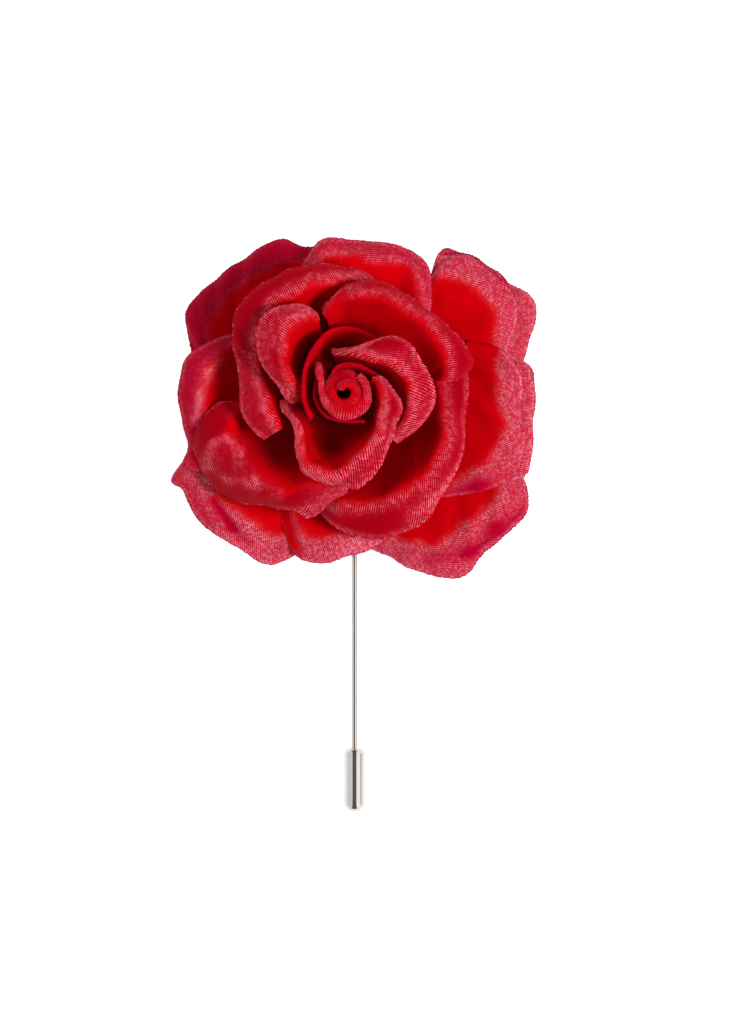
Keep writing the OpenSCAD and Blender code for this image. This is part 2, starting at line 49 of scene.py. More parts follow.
clothSmooth = 65      # degrees between two faces up to which cloth is shaded smooth
metalSmooth = 40      # the same for the needle and the clutch
nodeStep = (180, 160)    # distance between nodes, across and up the shader editor

# Cone inside the rose that the petals' feet stand on, and the air between the two
core = {"footR": 0.27 * flowerR, "footZ": 4.2, "tipR": 1.2, "tipZ": 0.61 * flowerH, "air": 0.25}


# Camera and studio

camera = {"lens": 220, "x": 2.1, "y": -19.4, "z": 1193, "seesTo": 20000}
lamps = {"key": {"x": 320, "y": -80, "z": 460, "size": 180, "power": 2.8},
         "fill": {"x": -340, "y": 120, "z": 330, "size": 240, "power": 0.75}}
# Bands are (place across X from left to right, red, green, blue)
sky = {"strength": 0.15, "mirrored": 1.1, "cap": 0.12, "capFrom": 0.925, "capTo": 0.965,
       "bands": [(0.0, 0.66, 0.63, 0.64), (0.29, 0.70, 0.67, 0.68), (0.33, 0.10, 0.085, 0.075),
                 (0.67, 0.10, 0.085, 0.075), (0.72, 1.0, 0.96, 0.91), (0.96, 1.0, 0.96, 0.91),
                 (0.985, 0.42, 0.37, 0.36)]}
floor = {"size": 6000, "shade": 0.5, "glow": 0.98, "mirrored": 0.52}


def makeCamera():
    # Long lens straight above the flower, looking down, and colours shown without a film curve
    data = bpy.data.cameras.new("camera")
    data.lens = camera["lens"]
    data.clip_end = camera["seesTo"] / 1000
    view = bpy.data.objects.new("camera", data)
    view.location = (camera["x"] / 1000, camera["y"] / 1000, camera["z"] / 1000)
    bpy.context.scene.collection.objects.link(view)
    bpy.context.scene.camera = view
    bpy.context.scene.view_settings.view_transform = "Standard"


def addNode(tree, kind, place, values=None, links=None):
    # One node with its settings; links go from another node's output to this node's input
    node = tree.nodes.new(kind)
    node.location = (place[0] * nodeStep[0], place[1] * nodeStep[1])
    for name, value in (values or {}).items():
        if isinstance(name, str) and hasattr(node, name):
            setattr(node, name, value)
        else:
            node.inputs[name].default_value = value
    for name, source in (links or {}).items():
        tree.links.new(source, node.inputs[name])
    return node


def mixColours(tree, place, share, a, b):
    # One node that goes from colour a to colour b as the share goes from 0 to 1
    node = addNode(tree, "ShaderNodeMix", place, {"data_type": "RGBA"}, {"Factor": share})
    for name, colour in (("A", a), ("B", b)):
        if isinstance(colour, tuple):
            node.inputs[name].default_value = colour
        else:
            tree.links.new(colour, node.inputs[name])
    return node.outputs["Result"]


def makeSky():
    # White sky, dim straight overhead, where it falls from 1 to the cap. Mirrors see another
    # one, in bands across X: pale, a dark stripe overhead, bright on the right
    world = bpy.data.worlds.new("studio")
    bpy.context.scene.world = world
    world.use_nodes = True
    tree = world.node_tree
    tree.nodes.clear()
    toward = addNode(tree, "ShaderNodeTexCoord", (0, 0)).outputs["Generated"]
    split = addNode(tree, "ShaderNodeSeparateXYZ", (1, 0), links={0: toward})
    cap = addNode(tree, "ShaderNodeMapRange", (2, 0), {
        "From Min": sky["capFrom"], "From Max": sky["capTo"], "To Min": 1.0, "To Max": sky["cap"]},
        {"Value": split.outputs["Z"]})
    mirror = addNode(tree, "ShaderNodeLightPath", (1, -2)).outputs["Is Glossy Ray"]
    across = addNode(tree, "ShaderNodeMapRange", (2, -1), {"From Min": -1.0},
                     {"Value": split.outputs["X"]})
    bands = addNode(tree, "ShaderNodeValToRGB", (2, -3), links={0: across.outputs[0]})
    stops = bands.color_ramp.elements
    for i, (start, *tone) in enumerate(sky["bands"]):
        stop = stops[i] if i < 2 else stops.new(start)
        stop.position, stop.color = start, (*tone, 1)
    seen = mixColours(tree, (3, -1), mirror, cap.outputs[0], bands.outputs[0])
    strength = addNode(tree, "ShaderNodeMath", (3, -3), {
        "operation": "MULTIPLY_ADD", 1: sky["mirrored"] - sky["strength"], 2: sky["strength"]},
        {0: mirror})
    shade = addNode(tree, "ShaderNodeBackground", (4, 0), links={
        "Color": seen, "Strength": strength.outputs[0]})
    addNode(tree, "ShaderNodeOutputWorld", (5, 0), links={0: shade.outputs[0]})


def makeLamps():
    # Square lamps turned to face the origin. Mirrors don't see them, since the sky's bands
    # stand in for them there
    for name, lamp in lamps.items():
        data = bpy.data.lights.new(name, "AREA")
        data.size = lamp["size"] / 1000
        data.energy = lamp["power"]
        holder = bpy.data.objects.new(name, data)
        x, y, z = (lamp[side] / 1000 for side in "xyz")
        holder.location = (x, y, z)
        holder.rotation_euler = (math.atan2(math.hypot(x, y), z), 0, math.atan2(x, -y))
        holder.visible_glossy = False
        bpy.context.scene.collection.objects.link(holder)


def newMaterial(name):
    # Empty material with the tree that its nodes go in
    material = bpy.data.materials.new(name)
    material.use_nodes = True
    material.node_tree.nodes.clear()
    return material, material.node_tree


def makePaper():
    # White sweep that glows, so that shadows on it stay faint, and less so in mirrors
    material, tree = newMaterial("whiteSweep")
    ray = addNode(tree, "ShaderNodeLightPath", (-2, 0))
    glow = addNode(tree, "ShaderNodeMath", (-1, 0), {
        "operation": "MULTIPLY_ADD", 1: floor["mirrored"] - floor["glow"], 2: floor["glow"]},
        {0: ray.outputs["Is Glossy Ray"]})
    shade = addNode(tree, "ShaderNodeBsdfPrincipled", (0, 0), {
        "Base Color": (floor["shade"],) * 3 + (1,), "Roughness": 0.9,
        "Emission Color": (1, 1, 1, 1)}, {"Emission Strength": glow.outputs[0]})
    addNode(tree, "ShaderNodeOutputMaterial", (2, 0), links={0: shade.outputs[0]})
    return material


def makeFloor():
    # One square at height 0, centred on the origin
    half = floor["size"] / 2000
    mesh = bpy.data.meshes.new("floor")
    mesh.from_pydata([(-half, -half, 0), (half, -half, 0), (half, half, 0), (-half, half, 0)],
                     [], [(0, 1, 2, 3)])
    ground = bpy.data.objects.new("floor", mesh)
    ground.data.materials.append(makePaper())
    bpy.context.scene.collection.objects.link(ground)


makeCamera()
makeSky()
makeLamps()
makeFloor()
print("camera and studio made")


# Satin

# Weave on the cloth map, where 1 is 10 mm. "pitch" is the distance between ribs, and threads
# cross them threadShare times as often. A Sharp is the power that a pattern is raised to
ribs = {
    "pitch": 0.042, "flatPitch": 0.034, "wander": 0.05, "wanderScale": 1.6, "ribSharp": 3.4,
    "threadShare": 0.95, "threadDepth": 0.5, "mottleScale": 2.2, "fleckSize": 0.013,
    "fleckSharp": 2.2, "glintSharp": 2.0, "lipSharp": 1.5, "bodyWeave": 0.25, "bodyMottle": 0.8,
    "patchFrom": 0.65, "patchBy": 0.7, "rough": 0.62, "roughWeave": -0.18,
    "flatHeight": 0.2, "lipHeight": 0.8,
}


def makeSatinWeave():
    # Ribbed satin: ridges by a cosine across the cloth and a finer one along it, a slow mottle,
    # a painted sheen on the lips with a random glint for each crossing, a dark cut edge, and
    # painted shade at the foot. Of the four masks painted on the petal, Lip carries the painted
    # sheen, Turned the lip's colour, Edge the cut edge and the last one the painted shade. Glint,
    # Even, Shine and Speckle set the painted highlight on the threads, Ends how few of the cut
    # ones take it, and Rim and Depth how far the edge and the painted shade go to their own
    # colours
    group = bpy.data.node_groups.new("satinWeave", "ShaderNodeTree")
    face = group.interface
    face.new_socket("Cloth Place", in_out="INPUT", socket_type="NodeSocketVector")
    for name in ("Lip", "Turned", "Edge", "Shadow", "Depth", "Pitch", "Glint", "Even", "Shine",
                 "Speckle", "Ends", "Rim"):
        face.new_socket(name, in_out="INPUT", socket_type="NodeSocketFloat")
    for name in ("Deep", "Bright", "Dusk", "LipSheen", "Sheen", "Cut", "Shade"):
        face.new_socket(name, in_out="INPUT", socket_type="NodeSocketColor")
    face.new_socket("Colour", in_out="OUTPUT", socket_type="NodeSocketColor")
    face.new_socket("Roughness", in_out="OUTPUT", socket_type="NodeSocketFloat")
    face.new_socket("Height", in_out="OUTPUT", socket_type="NodeSocketFloat")

    def calc(kind, place, *values, clamp=False):
        # One Math node; each value is a number or another node's output
        node = addNode(group, "ShaderNodeMath", place, {"operation": kind, "use_clamp": clamp})
        for i, value in enumerate(values):
            if isinstance(value, (int, float)):
                node.inputs[i].default_value = value
            else:
                group.links.new(value, node.inputs[i])
        return node.outputs[0]

    def ridges(place, at, count):
        # Cosine of a place on the cloth, moved into 0 to 1, with count ridges for each pitch
        x, y = place
        angle = calc("MULTIPLY", (x - 1, y + 1), at, count * 2 * math.pi)
        return calc("MULTIPLY_ADD", place, calc("COSINE", (x - 1, y), angle), 0.5, 0.5)

    given = addNode(group, "NodeGroupInput", (-9, 0)).outputs
    place = given["Cloth Place"]
    wander = addNode(group, "ShaderNodeTexNoise", (-8, 3),
                     {"Scale": ribs["wanderScale"], "Detail": 2.0}, {"Vector": place})
    mottle = addNode(group, "ShaderNodeTexNoise", (-8, -3),
                     {"Scale": ribs["mottleScale"], "Detail": 3.0}, {"Vector": place}).outputs[0]
    split = addNode(group, "ShaderNodeSeparateXYZ", (-8, 1), links={0: place})

    # Ribs and threads, and the weave that they make together
    strayed = calc("MULTIPLY_ADD", (-7, 2), wander.outputs[0], ribs["wander"], split.outputs["X"])
    ribAt = calc("DIVIDE", (-6, 2), strayed, given["Pitch"])
    threadAt = calc("DIVIDE", (-6, 0), split.outputs["Y"], given["Pitch"])
    line = calc("POWER", (-3, 2), ridges((-4, 2), ribAt, 1), ribs["ribSharp"])
    thread = ridges((-4, 0), threadAt, ribs["threadShare"])
    weave = calc("MULTIPLY", (-2, 1), line, calc(
        "MULTIPLY_ADD", (-3, 0), thread, ribs["threadDepth"], 1 - ribs["threadDepth"]))

    # One random number for each crossing, and finer flecks that break the ribs up
    cell = addNode(group, "ShaderNodeCombineXYZ", (-4, -1), links={
        "X": calc("FLOOR", (-5, -1), ribAt), "Y": calc("FLOOR", (-5, -2), calc(
            "MULTIPLY", (-6, -2), threadAt, ribs["threadShare"]))})
    dice = addNode(group, "ShaderNodeTexWhiteNoise", (-3, -1), {"noise_dimensions": "3D"},
                   {"Vector": cell.outputs[0]}).outputs["Value"]
    grain = addNode(group, "ShaderNodeVectorMath", (-5, -4), {
        "operation": "SNAP", 1: (ribs["fleckSize"], ribs["fleckSize"], 1)}, {0: place})
    fleck = addNode(group, "ShaderNodeTexWhiteNoise", (-4, -4), {"noise_dimensions": "3D"},
                    {"Vector": grain.outputs[0]}).outputs["Value"]
    flecks = calc("POWER", (-3, -4), fleck, ribs["fleckSharp"])
    lit = calc("MULTIPLY_ADD", (-2, -4), calc("SUBTRACT", (-3, -5), flecks, weave),
               given["Speckle"], weave)
    glint = calc("MULTIPLY_ADD", (-1, -1), calc("POWER", (-2, -1), dice, ribs["glintSharp"]),
                 given["Glint"], given["Even"])

    # Painted highlight on the lips, from the lit ribs and flecks, their glint and the slow mottle
    patchy = calc("MULTIPLY_ADD", (-1, -2), mottle, ribs["patchBy"], ribs["patchFrom"])
    glow = calc("MULTIPLY", (0, 0), calc("MULTIPLY", (0, -1), lit, glint), patchy)
    glow = calc("MULTIPLY", (1, 0), glow, calc("POWER", (0, 1), given["Lip"], ribs["lipSharp"]))
    shine = calc("MULTIPLY", (2, 1), glow, given["Shine"], clamp=True)

    # Colours: the wall, the turned lip, which goes from Dusk to a brighter crimson with the
    # painted sheen, the painted highlight, the cut edge, and the painted shade at the foot
    body = calc("MULTIPLY_ADD", (-1, 2), weave, ribs["bodyWeave"], calc(
        "MULTIPLY", (-2, 2), mottle, ribs["bodyMottle"]), clamp=True)
    colour = mixColours(group, (1, 2), body, given["Deep"], given["Bright"])
    ground = mixColours(group, (1, 3), given["Lip"], given["Dusk"], given["LipSheen"])
    colour = mixColours(group, (2, 2), given["Turned"], colour, ground)
    colour = mixColours(group, (3, 2), shine, colour, given["Sheen"])
    ends = mixColours(group, (3, 3), calc("GREATER_THAN", (2, 3), dice, given["Ends"]),
                      given["Cut"], given["Sheen"])
    colour = mixColours(group, (4, 2), calc("MULTIPLY", (3, 0), given["Edge"], given["Rim"]),
                        colour, ends)
    # Painted shade: darker towards the foot of each petal, mixed towards the Shade colour
    colour = mixColours(group, (5, 2), calc("MULTIPLY", (4, 0), given["Shadow"], given["Depth"]),
                        colour, given["Shade"])
    rough = calc("MULTIPLY_ADD", (3, -1), weave, ribs["roughWeave"], ribs["rough"])
    height = calc("MULTIPLY", (4, -1), weave, calc(
        "MULTIPLY_ADD", (3, -2), given["Lip"], ribs["lipHeight"], ribs["flatHeight"]))
    addNode(group, "NodeGroupOutput", (6, 0), links={
        "Colour": colour, "Roughness": rough, "Height": height})
    return group


def makeSatin(name, look):
    # Satin that reads the petal's cloth map and its four masks, with the look's own values in
    # the weave, and a red sheen with little gloss
    material, tree = newMaterial(name)
    place = addNode(tree, "ShaderNodeUVMap", (-3, 1), {"uv_map": "cloth"})
    weave = addNode(tree, "ShaderNodeGroup", (-1, 0), {"node_tree": satinWeave})
    for socket, value in look.items():
        if socket in weave.inputs:
            weave.inputs[socket].default_value = value
    tree.links.new(place.outputs[0], weave.inputs["Cloth Place"])
    for i, mask in enumerate(("lip", "turned", "edge", "shadow")):
        painted = addNode(tree, "ShaderNodeAttribute", (-3, -i), {"attribute_name": mask})
        tree.links.new(painted.outputs["Fac"], weave.inputs[mask.title()])
    bump = addNode(tree, "ShaderNodeBump", (0, -1), {
        "Strength": look["bump"], "Distance": 0.00012}, {"Height": weave.outputs["Height"]})
    shade = addNode(tree, "ShaderNodeBsdfPrincipled", (1, 0), {
        "Sheen Weight": look["sheen"], "Sheen Roughness": 0.4, "Sheen Tint": (1, 0.15, 0.3, 1),
        "Specular IOR Level": 0.06, "Specular Tint": (1, 0.1, 0.2, 1)}, {
        "Base Color": weave.outputs["Colour"], "Roughness": weave.outputs["Roughness"],
        "Normal": bump.outputs[0]})
    addNode(tree, "ShaderNodeOutputMaterial", (3, 0), links={0: shade.outputs[0]})
    return material


satinWeave = makeSatinWeave()
# Lips go from Dusk to a brighter crimson as their painted sheen grows; Sheen is the painted
# highlight on the threads and Shade the painted shade at the foot
redSatin = {
    "Pitch": ribs["pitch"], "Glint": 2.6, "Even": 0.25, "Shine": 1.25, "Speckle": 0.03,
    "Ends": 0.85, "Rim": 0.4, "Depth": 0.6, "bump": 0.5, "sheen": 0.01,
    "Deep": (0.50, 0.0, 0.003, 1), "Bright": (0.82, 0.0, 0.005, 1),
    "Dusk": (0.41, 0.0, 0.008, 1), "LipSheen": (0.54, 0.0, 0.013, 1),
    "Sheen": (1.0, 0.25, 0.35, 1), "Cut": (0.45, 0.0, 0.02, 1), "Shade": (0.10, 0.0, 0.002, 1),
}
# Large flat petals: a finer weave with a paler, more even painted sheen
flatSatin = {
    **redSatin, "Pitch": ribs["flatPitch"], "Glint": 1.9, "Even": 0.32, "Shine": 1.02,
    "Speckle": 0.3, "Ends": 1.0, "Rim": 0.85, "Depth": 0.25, "bump": 0.3,
    "Dusk": (0.46, 0.0, 0.022, 1), "LipSheen": (0.60, 0.0, 0.030, 1),
    "Sheen": (1.0, 0.44, 0.54, 1), "Cut": (0.30, 0.0, 0.032, 1),
}
# Darker lips for the upper left petal, which faces away from the key lamp: painted shade
shadeSatin = {**flatSatin, "Dusk": (0.44, 0.0, 0.020, 1), "LipSheen": (0.50, 0.0, 0.022, 1)}
outerCloth = makeSatin("outerSatin", flatSatin)
shadeCloth = makeSatin("shadeSatin", shadeSatin)
secondCloth = makeSatin("secondSatin", {**flatSatin, "Speckle": 0.25})
middleCloth = makeSatin("middleSatin", redSatin)
innerCloth = makeSatin("innerSatin", redSatin)
budCloth = makeSatin("budSatin", {**redSatin, "Ends": 1.0, "Shine": 1.0})
print("satins made")


# Cloth surfaces

# Shares of a petal: where the lip's curve is pulled level with the crest, the part of the wall
# over which it widens from its foot, where the lean of its last rows starts, and the reach
# that stays in place when they lean
petalForm = {"lipPull": 0.55, "widening": 0.4, "leanFrom": 0.6, "leanOver": 0.4, "leanReach": 0.81}

# How every petal's cloth is ruffled, wrinkled and frayed, in mm. From and Over are shares of
# the way from the foot to the rim, "longest" is in ripple pitches, and "most" is as far as
# ruffles may move the cloth
satin = {
    "ruffles": 4, "ruffleFrom": 0.35, "ruffleOver": 0.5, "longest": 3, "most": 0.32,
    "wrinkles": 5, "wrinkle": 0.015, "wrinklePitch": (1.1, 3.0), "wrinkleUp": 0.3,
    "fray": 0.1, "frayFrom": 0.95, "frayOver": 0.05, "thread": 2.5, "threadRare": 7,
}

# Where the satin's masks start and how far they take to grow, in mm past the crest or in from
# the border, with a stray that makes them uneven. The band, lip and rim take the painted sheen.
# The painted shade's start and growth are shares of the way up
paint = {
    "strays": 4, "stray": 0.25, "strayPitch": (4, 14), "bandAt": 0.7, "bandInner": 0.7,
    "lipFrom": -0.6, "lipOver": 1.2, "rimFull": 1.4, "rimWide": 1.2, "rimPast": -1,
    "turnFrom": -0.5, "turnOver": 1.6, "edgeFrom": 0.05, "edgeOver": 0.22,
    "shadowFrom": 0.3, "shadowOver": 0.35,
}

# Added to a petal's seed for each random thing after its ruffles
seedStep = {"stray": 7, "wrinkle": 50, "fray": 90}


def smoothRows(rows, across):
    # Catmull-Rom curve through the rows, which stand at 0, 1, 2 and so on
    rows = np.array(rows, float)
    t = np.linspace(0, len(rows) - 1, across + 1)
    ends = np.vstack([2 * rows[0] - rows[1], rows, 2 * rows[-1] - rows[-2]])
    i = np.minimum(t.astype(int), len(rows) - 2)
    f = (t - i)[:, None]
    a, b, c, d = (ends[i + k] for k in range(4))
    return 0.5 * (2 * b + (c - a) * f + (2 * a - 5 * b + 4 * c - d) * f**2
                  + (3 * b - a - 3 * c + d) * f**3)


def ease(t):
    # Smooth step from 0 to 1
    t = np.clip(t, 0, 1)
    return t * t * (3 - 2 * t)


def fourPoint(a, b, c, d, v):
    # Curve from a to d that leaves towards b and comes in from c: a cubic blend of the four
    return (1 - v)**3 * a + 3 * (1 - v)**2 * v * b + 3 * (1 - v) * v**2 * c + v**3 * d


def threePoint(a, b, c, v):
    # Curve from a to c that is pulled towards b: a square blend of the three
    return (1 - v)**2 * a + 2 * (1 - v) * v * b + v**2 * c


def squareTo(grid):
    # Unit direction square to a grid of points: steps across crossed with steps along
    n = np.cross(np.gradient(grid, axis=0), np.gradient(grid, axis=1))
    return n / np.linalg.norm(n, axis=2, keepdims=True)


def arcs(grid, axis):
    # Length along the grid's lines from their start
    steps = np.linalg.norm(np.diff(grid, axis=axis), axis=2)
    start = np.zeros_like(np.take(steps, [0], axis=axis))
    return np.cumsum(np.concatenate([start, steps], axis=axis), axis=axis)


def clothArea(cloth):
    # Sum over the grid's cells of the cross product of their two sides
    across, up = np.diff(cloth[:, :-1], axis=0), np.diff(cloth[:-1], axis=1)
    return np.linalg.norm(np.cross(across, up), axis=2).sum()


def waves(u, v, seed, count, lowest, highest):
    # Sum of slanted sine waves with seeded pitch, slant and start, between about -1 and 1
    dice = np.random.default_rng(seed)
    total = np.zeros(np.broadcast(u, v).shape)
    for k in range(count):
        pitch = lowest * (highest / lowest) ** dice.random()
        slant = dice.uniform(-0.5, 0.5)
        total += np.sin((u + slant * v) * 2 * np.pi / pitch + dice.uniform(0, 6.28))
    return total / count ** 0.5


def strokes(grid, table):
    # Strokes seen from the front, each from one (x, y) to another: amount times a bell of the
    # distance from the line between them
    total = np.zeros(grid.shape[:2])
    for x0, y0, x1, y1, wide, amount in table:
        dx, dy = grid[..., 0] - x0, grid[..., 1] - y0
        length = max((x1 - x0)**2 + (y1 - y0)**2, 1e-6)
        along = np.clip((dx * (x1 - x0) + dy * (y1 - y0)) / length, 0, 1)
        off = (dx - along * (x1 - x0))**2 + (dy - along * (y1 - y0))**2
        total += amount * np.exp(-off / wide**2)
    return total


def petalGrid(petal):
    # Each row across is a wall, a four-point curve from the foot to the crest, then a lip, a
    # three-point curve out to the edge. Near the foot, bearings close up to a share of the
    # full width. "lean" turns the last rows one way outside leanReach, the other way inside it
    across, up, out = petal["steps"]
    rows = smoothRows(petal["rows"], across)
    bearing = rows[:, :1]
    crestR, edgeR = rows[:, 1:2] * petal["reach"], rows[:, 3:4] * petal["reach"]
    crestZ, edgeZ = rows[:, 2:3] * flowerH, rows[:, 4:5] * flowerH
    edgeZ = edgeZ + petal["flare"] * (crestZ - edgeZ)
    footZ = np.linspace(petal["foot"][0], petal["foot"][1], across + 1)[:, None] * flowerH
    fall = (core["footR"] - core["tipR"]) / (core["tipZ"] - core["footZ"])
    footR = core["footR"] - fall * (footZ - core["footZ"]) \
        + (solidT + core["air"]) * math.hypot(1, fall)
    bellyR = footR + petal["belly"][0] * (crestR - footR)
    bellyZ = footZ + petal["belly"][1] * (crestZ - footZ)
    shoulderR = crestR - petal["round"] * (crestR - footR)
    browR = crestR + petalForm["lipPull"] * (edgeR - crestR)
    v = np.linspace(0, 1, up + 1)[None, :]
    w = np.linspace(0, 1, out + 1)[None, 1:]
    r = np.hstack([fourPoint(footR, bellyR, shoulderR, crestR, v),
                   threePoint(crestR, browR, edgeR, w)])
    z = np.hstack([fourPoint(footZ, bellyZ, crestZ, crestZ, v),
                   threePoint(crestZ, crestZ, edgeZ, w)])
    share = petal["footWidth"] + (1 - petal["footWidth"]) * ease(v / petalForm["widening"])
    share = np.hstack([share, np.ones_like(w)])
    middle = (rows[0, 0] + rows[-1, 0]) / 2
    last = np.linspace(0, 1, across + 1)[:, None]
    last = ease((last - petalForm["leanFrom"]) / petalForm["leanOver"])
    lean = petal["lean"] * last * (r / petal["reach"] - petalForm["leanReach"])
    turn = np.radians(middle + (bearing - middle) * share + lean)
    return np.dstack([heartX + r * np.cos(turn), heartY + r * np.sin(turn), z])


def ruffled(petal, face, rise, run):
    # Middle of the cloth: the face moved in by half the solid's thickness, less slanted waves
    # that grow towards the rim, fine wrinkles, and the strokes of its dents
    amount, pitch = petal["ripple"]
    grow = ease((rise / rise[:, -1:] - satin["ruffleFrom"]) / satin["ruffleOver"])
    shift = amount * grow * waves(run, rise, petal["seed"], satin["ruffles"],
                                  pitch, satin["longest"] * pitch)
    shift += satin["wrinkle"] * waves(run, satin["wrinkleUp"] * rise,
                                      petal["seed"] + seedStep["wrinkle"],
                                      satin["wrinkles"], *satin["wrinklePitch"])
    shift = np.clip(shift, -satin["most"], satin["most"]) + strokes(face, petal["dents"])
    return face - squareTo(face) * (solidT / 2 - shift[..., None])


def frayed(petal, cloth, rise):
    # Rim moved along the cloth by random lengths: a short even part, and a high power of
    # another random number, which leaves only a few threads long
    dice = np.random.default_rng(petal["seed"] + seedStep["fray"])
    short = dice.uniform(-1, 0.5, len(cloth))
    long = satin["thread"] * dice.random(len(cloth))**satin["threadRare"]
    fray = satin["fray"] * (short + long)
    outward = np.gradient(cloth, axis=1)
    outward /= np.linalg.norm(outward, axis=2, keepdims=True)
    near = ease((rise / rise[:, -1:] - satin["frayFrom"]) / satin["frayOver"])
    return cloth + outward * (near * fray[:, None])[..., None]


def closedSheet(name, cloth):
    # Sheet round the cloth's middle: half the thickness to each side, with a ring of faces at
    # the border that closes it
    square = squareTo(cloth)
    sides = np.stack([cloth + square * clothT / 2, cloth - square * clothT / 2])
    m, n = cloth.shape[:2]
    index = np.arange(m * n).reshape(m, n)
    a, b, c, d = index[:-1, :-1], index[1:, :-1], index[1:, 1:], index[:-1, 1:]
    front = np.stack([a, b, c, d], -1).reshape(-1, 4)
    back = np.stack([a, d, c, b], -1).reshape(-1, 4) + m * n
    ring = np.concatenate([index[:, 0], index[-1, 1:], index[-2::-1, -1], index[0, -2:0:-1]])
    after = np.roll(ring, -1)
    rim = np.stack([after, ring, ring + m * n, after + m * n], -1)
    return fillMesh(name, sides.reshape(-1, 3), np.vstack([front, back, rim]))


def mapCloth(piece, petal, rise, run):
    # Cloth map: lengths from the petal's middle line and up from its foot, turned by the
    # grain's angle, where 1 is 10 mm
    grain = math.radians(petal["grain"])
    centre = run - run[-1:] / 2
    flat = np.dstack([centre * math.cos(grain) + rise * math.sin(grain),
                      rise * math.cos(grain) - centre * math.sin(grain)]) / 10
    setUv(piece, np.tile(flat.reshape(-1, 2), (2, 1)))


def paintCloth(piece, petal, cloth, rise, run):
    # Masks from 0 to 1. Lip, the painted sheen, is the most of a bell past the crest, a step from
    # the crest on and a step near the rim, with the strokes of its painted highlight. Turned is a
    # step past the crest less the plain strokes, edge a step at the border with its lines, and the
    # painted shade a step at the foot
    past = rise - rise[:, petal["steps"][1]][:, None]
    left = rise[:, -1:] - rise
    stray = paint["stray"] * waves(run, rise, petal["seed"] + seedStep["stray"],
                                   paint["strays"], *paint["strayPitch"])
    bandShine, lipShine, rimShine = petal["shine"]
    off = past - paint["bandAt"] - stray
    wide = petal["bandWide"] * np.where(off > 0, 1, paint["bandInner"])
    band = np.exp(-(off / wide)**2) * bandShine
    between = ease((past - paint["lipFrom"] - stray) / paint["lipOver"]) * lipShine
    rim = ease(paint["rimFull"] - left / paint["rimWide"]) * rimShine \
        * ease(past - paint["rimPast"])
    lip = np.maximum(np.maximum(band, between), rim) + strokes(cloth, petal["glow"])
    turned = ease((past - paint["turnFrom"] - stray) / paint["turnOver"])
    turned -= strokes(cloth, petal["plain"])
    border = np.minimum(left, np.minimum(run, run[-1:] - run))
    edge = 1 - ease((border - paint["edgeFrom"]) / paint["edgeOver"])
    edge += strokes(cloth, petal["lines"])
    shadow = 1 - ease((rise / rise[:, -1:] - paint["shadowFrom"]) / paint["shadowOver"])
    for name, mask in (("lip", lip), ("turned", turned), ("edge", edge), ("shadow", shadow)):
        setPoints(piece, name, np.tile(np.clip(mask, 0, 1).ravel(), 2))


def fillMesh(name, points, faces):
    # New piece from points in mm and faces of four corners, shaded smooth but for sharp edges
    mesh = bpy.data.meshes.new(name)
    mesh.vertices.add(len(points))
    mesh.vertices.foreach_set("co", (points / 1000).ravel())
    mesh.loops.add(faces.size)
    mesh.loops.foreach_set("vertex_index", faces.ravel().astype(np.int32))
    mesh.polygons.add(len(faces))
    mesh.polygons.foreach_set("loop_start", np.arange(0, faces.size, 4, dtype=np.int32))
    mesh.update(calc_edges=True)
    mesh.validate()
    mesh.polygons.foreach_set("use_smooth", np.ones(len(faces), bool))
    mesh.set_sharp_from_angle(angle=math.radians(clothSmooth))
    piece = bpy.data.objects.new(name, mesh)
    bpy.context.scene.collection.objects.link(piece)
    return piece


def setUv(piece, flat):
    # UV map with each corner at the place of its point on the flat cloth
    mesh = piece.data
    corners = np.zeros(len(mesh.loops), np.int32)
    mesh.loops.foreach_get("vertex_index", corners)
    layer = mesh.uv_layers.new(name="cloth")
    layer.uv.foreach_set("vector", flat[corners].astype(np.float32).ravel())


def setPoints(piece, name, values):
    # One number for each point, which a material reads by its name
    layer = piece.data.attributes.new(name, "FLOAT", "POINT")
    layer.data.foreach_set("value", values.astype(np.float32))


def makePetal(petal, material):
    # Satin inside a petal's solid, which it hides: ruffled, frayed, closed, mapped and painted,
    # then given its material, hung on the flower and printed with its area and size
    words = petal["node"].title().replace("_", "")
    name = words[0].lower() + words[1:]
    face = petalGrid(petal)
    rise, run = arcs(face, 1), arcs(face, 0)
    cloth = frayed(petal, ruffled(petal, face, rise, run), rise)
    piece = closedSheet(name, cloth)
    mapCloth(piece, petal, rise, run)
    paintCloth(piece, petal, cloth, rise, run)
    piece.data.materials.append(material)
    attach(piece, "flower")
    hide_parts(petal["node"])
    print(f"{name}: {len(piece.data.polygons)} faces, {clothArea(cloth):.0f} mm2, "
          f"{run[-1].max():.0f} by {rise[:, -1].mean():.0f} mm")


# Petals

# Rows go round a petal as (bearing, crest reach, crest height, edge reach, edge height):
# degrees round the heart, and shares of "reach" and of flowerH. "foot" is the foot's height at
# the first and last row, "belly" how far out and up the wall bulges, "round" how round the
# crest is, "footWidth" the foot's share of the full width, "flare" how far the lip is lifted
# level with the crest, and "lean" the degrees that the last rows lean. "steps" are intervals
# across, up the wall and out along the lip. "ripple" is the ruffles' height and pitch in mm,
# "grain" the ribs' angle, "shine" how strong the painted sheen is on the band past the crest,
# the lip and the rim, and "bandWide" the band's width. Strokes are (x, y, x, y, width, amount)
# in mm, seen from the front: "dents" push the cloth out, "glow" adds painted highlight,
# "plain" takes the lip's colours away and "lines" adds the cut edge's. "flat" is the size that
# the cloth was cut to, and "cutShare" how much of that rectangle it fills.
anyPetal = {
    "held": "gathered", "footWidth": 0.80, "lean": 0, "bandWide": 1.2,
    "dents": [], "plain": [], "lines": [], "glow": [],
}
